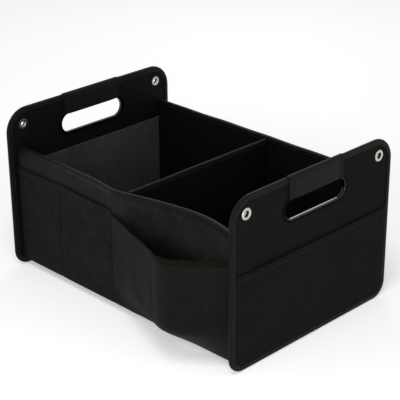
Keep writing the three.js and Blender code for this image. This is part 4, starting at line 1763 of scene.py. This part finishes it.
@dataclass
class Divider(Assembly):
    """The stiff lift-out divider with its bound top and hook tapes."""

    face: float = 2.3
    foot: float = 17.34
    sheet_top: float = 235.0
    top: float = 237.0
    reach: float = 168.9
    tape_crown: float = 3.4
    hook_half: float = 12.5
    hook_thickness: float = 1.4
    hook_out: float = 169.2
    hook_top: float = 221.0

    def build(self) -> None:
        """Makes the two covers, the binding with its stitches and the two hook tapes."""
        p, middle = self.plan, self.plan.divider_x
        z = column(self.foot, self.sheet_top, 50)
        front = -(self.reach + p.lean(Side.FRONT, middle, z))
        share = np.linspace(0, 1, 90)
        y = front + share * (self.reach - front)
        for name, sign in (("far", -1), ("near", 1)):
            soft = 0.25 * ripples(y, z, 100 + sign, 80).clip(-1, 1.5) * np.sin(np.pi * share)
            x = middle + sign * (self.face + soft * (1 - smooth(z, 222, 230)))
            way, node = (float(sign), 0.0, 0.0), f"divider_cover_{name}"
            piece = self.shop.lay(
                f"divider_{name}_cloth", placed(x, y, z), LINING, way, node, body=DIVIDER
            )
        across, depth = folded_tape(self.face + 1.2, p.tape, p.tape_width, self.tape_crown).T
        line = column(-self.reach - 4, self.reach, 110)
        grid = placed(middle + across, line, self.top - depth + 0.3 * ripples(line, 0, 103, 120))
        self.shop.tube("divider_edge_tape", grid, INNER_TAPE, "divider_binding", body=DIVIDER)
        y, z = np.linspace(-self.reach, self.reach - 2, 200), self.top - p.stitch_depth
        rows = [
            (placed(middle + sign * (self.face + 1.15), y, z), (float(sign), 0.0, 0.0))
            for sign in (-1, 1)
        ]
        self.shop.sew("divider_stitches", rows, body=DIVIDER)
        section = strip_section(self.hook_half, self.hook_thickness, 44)
        for side in Side:
            label = side.name.lower()
            name, node = f"divider_{label}_hook_strip", f"divider_hook_{label}"
            self.touch_strip(name, side, section, self.hook_out, self.hook_top, DIVIDER, node)


@dataclass
class Studio:
    """The pale room: floor, sky, soft lamps and the camera."""

    middle: float
    eye: Triple = (1.5332, -1.5035, 1.1326)
    azimuth: float = 45.299
    elevation: float = 24.345
    roll: float = -0.45
    lens: float = 117.5
    sky: float = 0.34
    paper_glow: float = 0.46
    floor_half: float = 9000.0
    floor_height: float = -0.4

    @staticmethod
    def stand(name: str, data: bpy.types.ID, axes: Sequence[Grid], place: Grid) -> Piece:
        """Puts a camera or a lamp in the room.

        Args:
            name: Of the object.
            data: Its camera or light.
            axes: Its three axes.
            place: Where it stands, in metres.

        Returns:
            The object.
        """
        made = bpy.data.objects.new(name, data)
        made.matrix_world = Matrix([*np.column_stack([*axes, place]).tolist(), [0, 0, 0, 1]])
        bpy.context.scene.collection.objects.link(made)
        return made

    def camera(self) -> None:
        """The camera at the photograph's place: turned, raised and rolled by fixed angles."""
        a, e, r = (math.radians(v) for v in (self.azimuth, self.elevation, self.roll))
        back = np.array([math.sin(a) * math.cos(e), -math.cos(a) * math.cos(e), math.sin(e)])
        level = np.array([math.cos(a), math.sin(a), 0.0])
        upright = np.cross(back, level)
        right = level * math.cos(r) + upright * math.sin(r)
        up = upright * math.cos(r) - level * math.sin(r)
        data = bpy.data.cameras.new("camera")
        data.lens = self.lens
        data.sensor_width = 36.0
        data.clip_start, data.clip_end = 0.05, 60.0
        place = np.array(self.eye) + np.array([0.0, self.middle, 0.0])
        bpy.context.scene.camera = self.stand("camera", data, (right, up, back), place)

    def floor(self) -> None:
        """A wide pale floor with the object's soft shadow.

        It glows a little where it is seen, and less close to the object, by a smooth step of
        the squared distance; the weaker glow near the object is a painted shadow round it.
        """
        x, y = np.meshgrid(*[np.linspace(-self.floor_half, self.floor_half, 3)] * 2)
        floor = Workshop(0.0).surface("studio_floor", placed(x, y, self.floor_height), facing=UP)
        shader = Shader(bpy.data.materials.new("studio_paper"))
        body = shader.place()
        x, y, _ = shader.split(body)
        # Painted shadow: the glow is weaker close to the object.
        glow = shader.seen() * ((x * x + y * y).step(0.12, 1.0) * 0.17 + 0.83)
        material = shader.finish(
            Base_Color=shader.blend(shader.noise(body, 3.0), (0.93,) * 3, (0.95,) * 3),
            Roughness=shader.noise(body, 60.0) * 0.1 + 0.85,
            Specular_IOR_Level=0.1,
            Emission_Color=shader.blend(glow, (0.0,) * 3, (1.0,) * 3),
            Emission_Strength=self.paper_glow,
        )
        floor.data.materials.append(material)

    def world(self) -> None:
        """An even white sky, which looks full white where it is seen or mirrored."""
        world = bpy.data.worlds.new("studio_sky")
        bpy.context.scene.world = world
        shader = Shader(world)
        strength = shader.seen() * (1.0 - self.sky) + self.sky
        inputs = {"Color": (1.0, 1.0, 1.0, 1.0), "Strength": strength}
        background = shader.node("ShaderNodeBackground", {}, inputs).outputs["Background"]
        shader.node("ShaderNodeOutputWorld", {}, {"Surface": background})

    def lamp(self, name: str, place: Triple, size: float, power: float) -> None:
        """A square softbox that looks at the middle of the object.

        Args:
            name: Of the lamp.
            place: Where it hangs, in metres.
            size: Length of its sides.
            power: In watts.
        """
        data = bpy.data.lights.new(name, "AREA")
        data.shape = "SQUARE"
        data.size = size
        data.energy = power
        back = unit(np.array(place) - np.array([0.0, 0.0, 0.15]))
        right = unit(np.cross(UP, back))
        self.stand(name, data, (right, np.cross(back, right), back), np.array(place))

    def build(self) -> None:
        """Sets up the room."""
        self.camera()
        self.floor()
        self.world()
        self.lamp("key_softbox", (0.85, -1.05, 0.50), 0.7, 6.2)
        self.lamp("top_softbox", (0.6, -1.0, 2.3), 1.1, 18.0)
        self.lamp("glint_lamp", (-1.15, 1.45, 1.2), 0.5, 3.0)
        bpy.context.scene.view_settings.view_transform = "Standard"


def main() -> None:
    """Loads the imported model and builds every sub-assembly.

    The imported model's boards stay as they are and only get a finish.
    """
    logging.basicConfig(level=logging.INFO, format="%(name)s: %(message)s")
    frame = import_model()
    low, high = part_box("base_cover")
    middle = (low.y + high.y) / 2
    Studio(middle).build()
    shop = Workshop(middle)
    for name, node in sorted(frame["nodes"].items()):
        if "_board" in name:
            shop.coat(node, BOARD)
    ends = [EndPanel(shop, end=end) for end in End]
    walls = [Wall(shop, side=side) for side in Side]
    pockets = [FlatPocket(shop, wall=walls[0]), NetPocket(shop)]
    for assembly in (*ends, *walls, *pockets, Floor(shop), Divider(shop)):
        assembly.build()
        log.info("%s done", type(assembly).__name__)


if __name__ == "__main__":
    main()
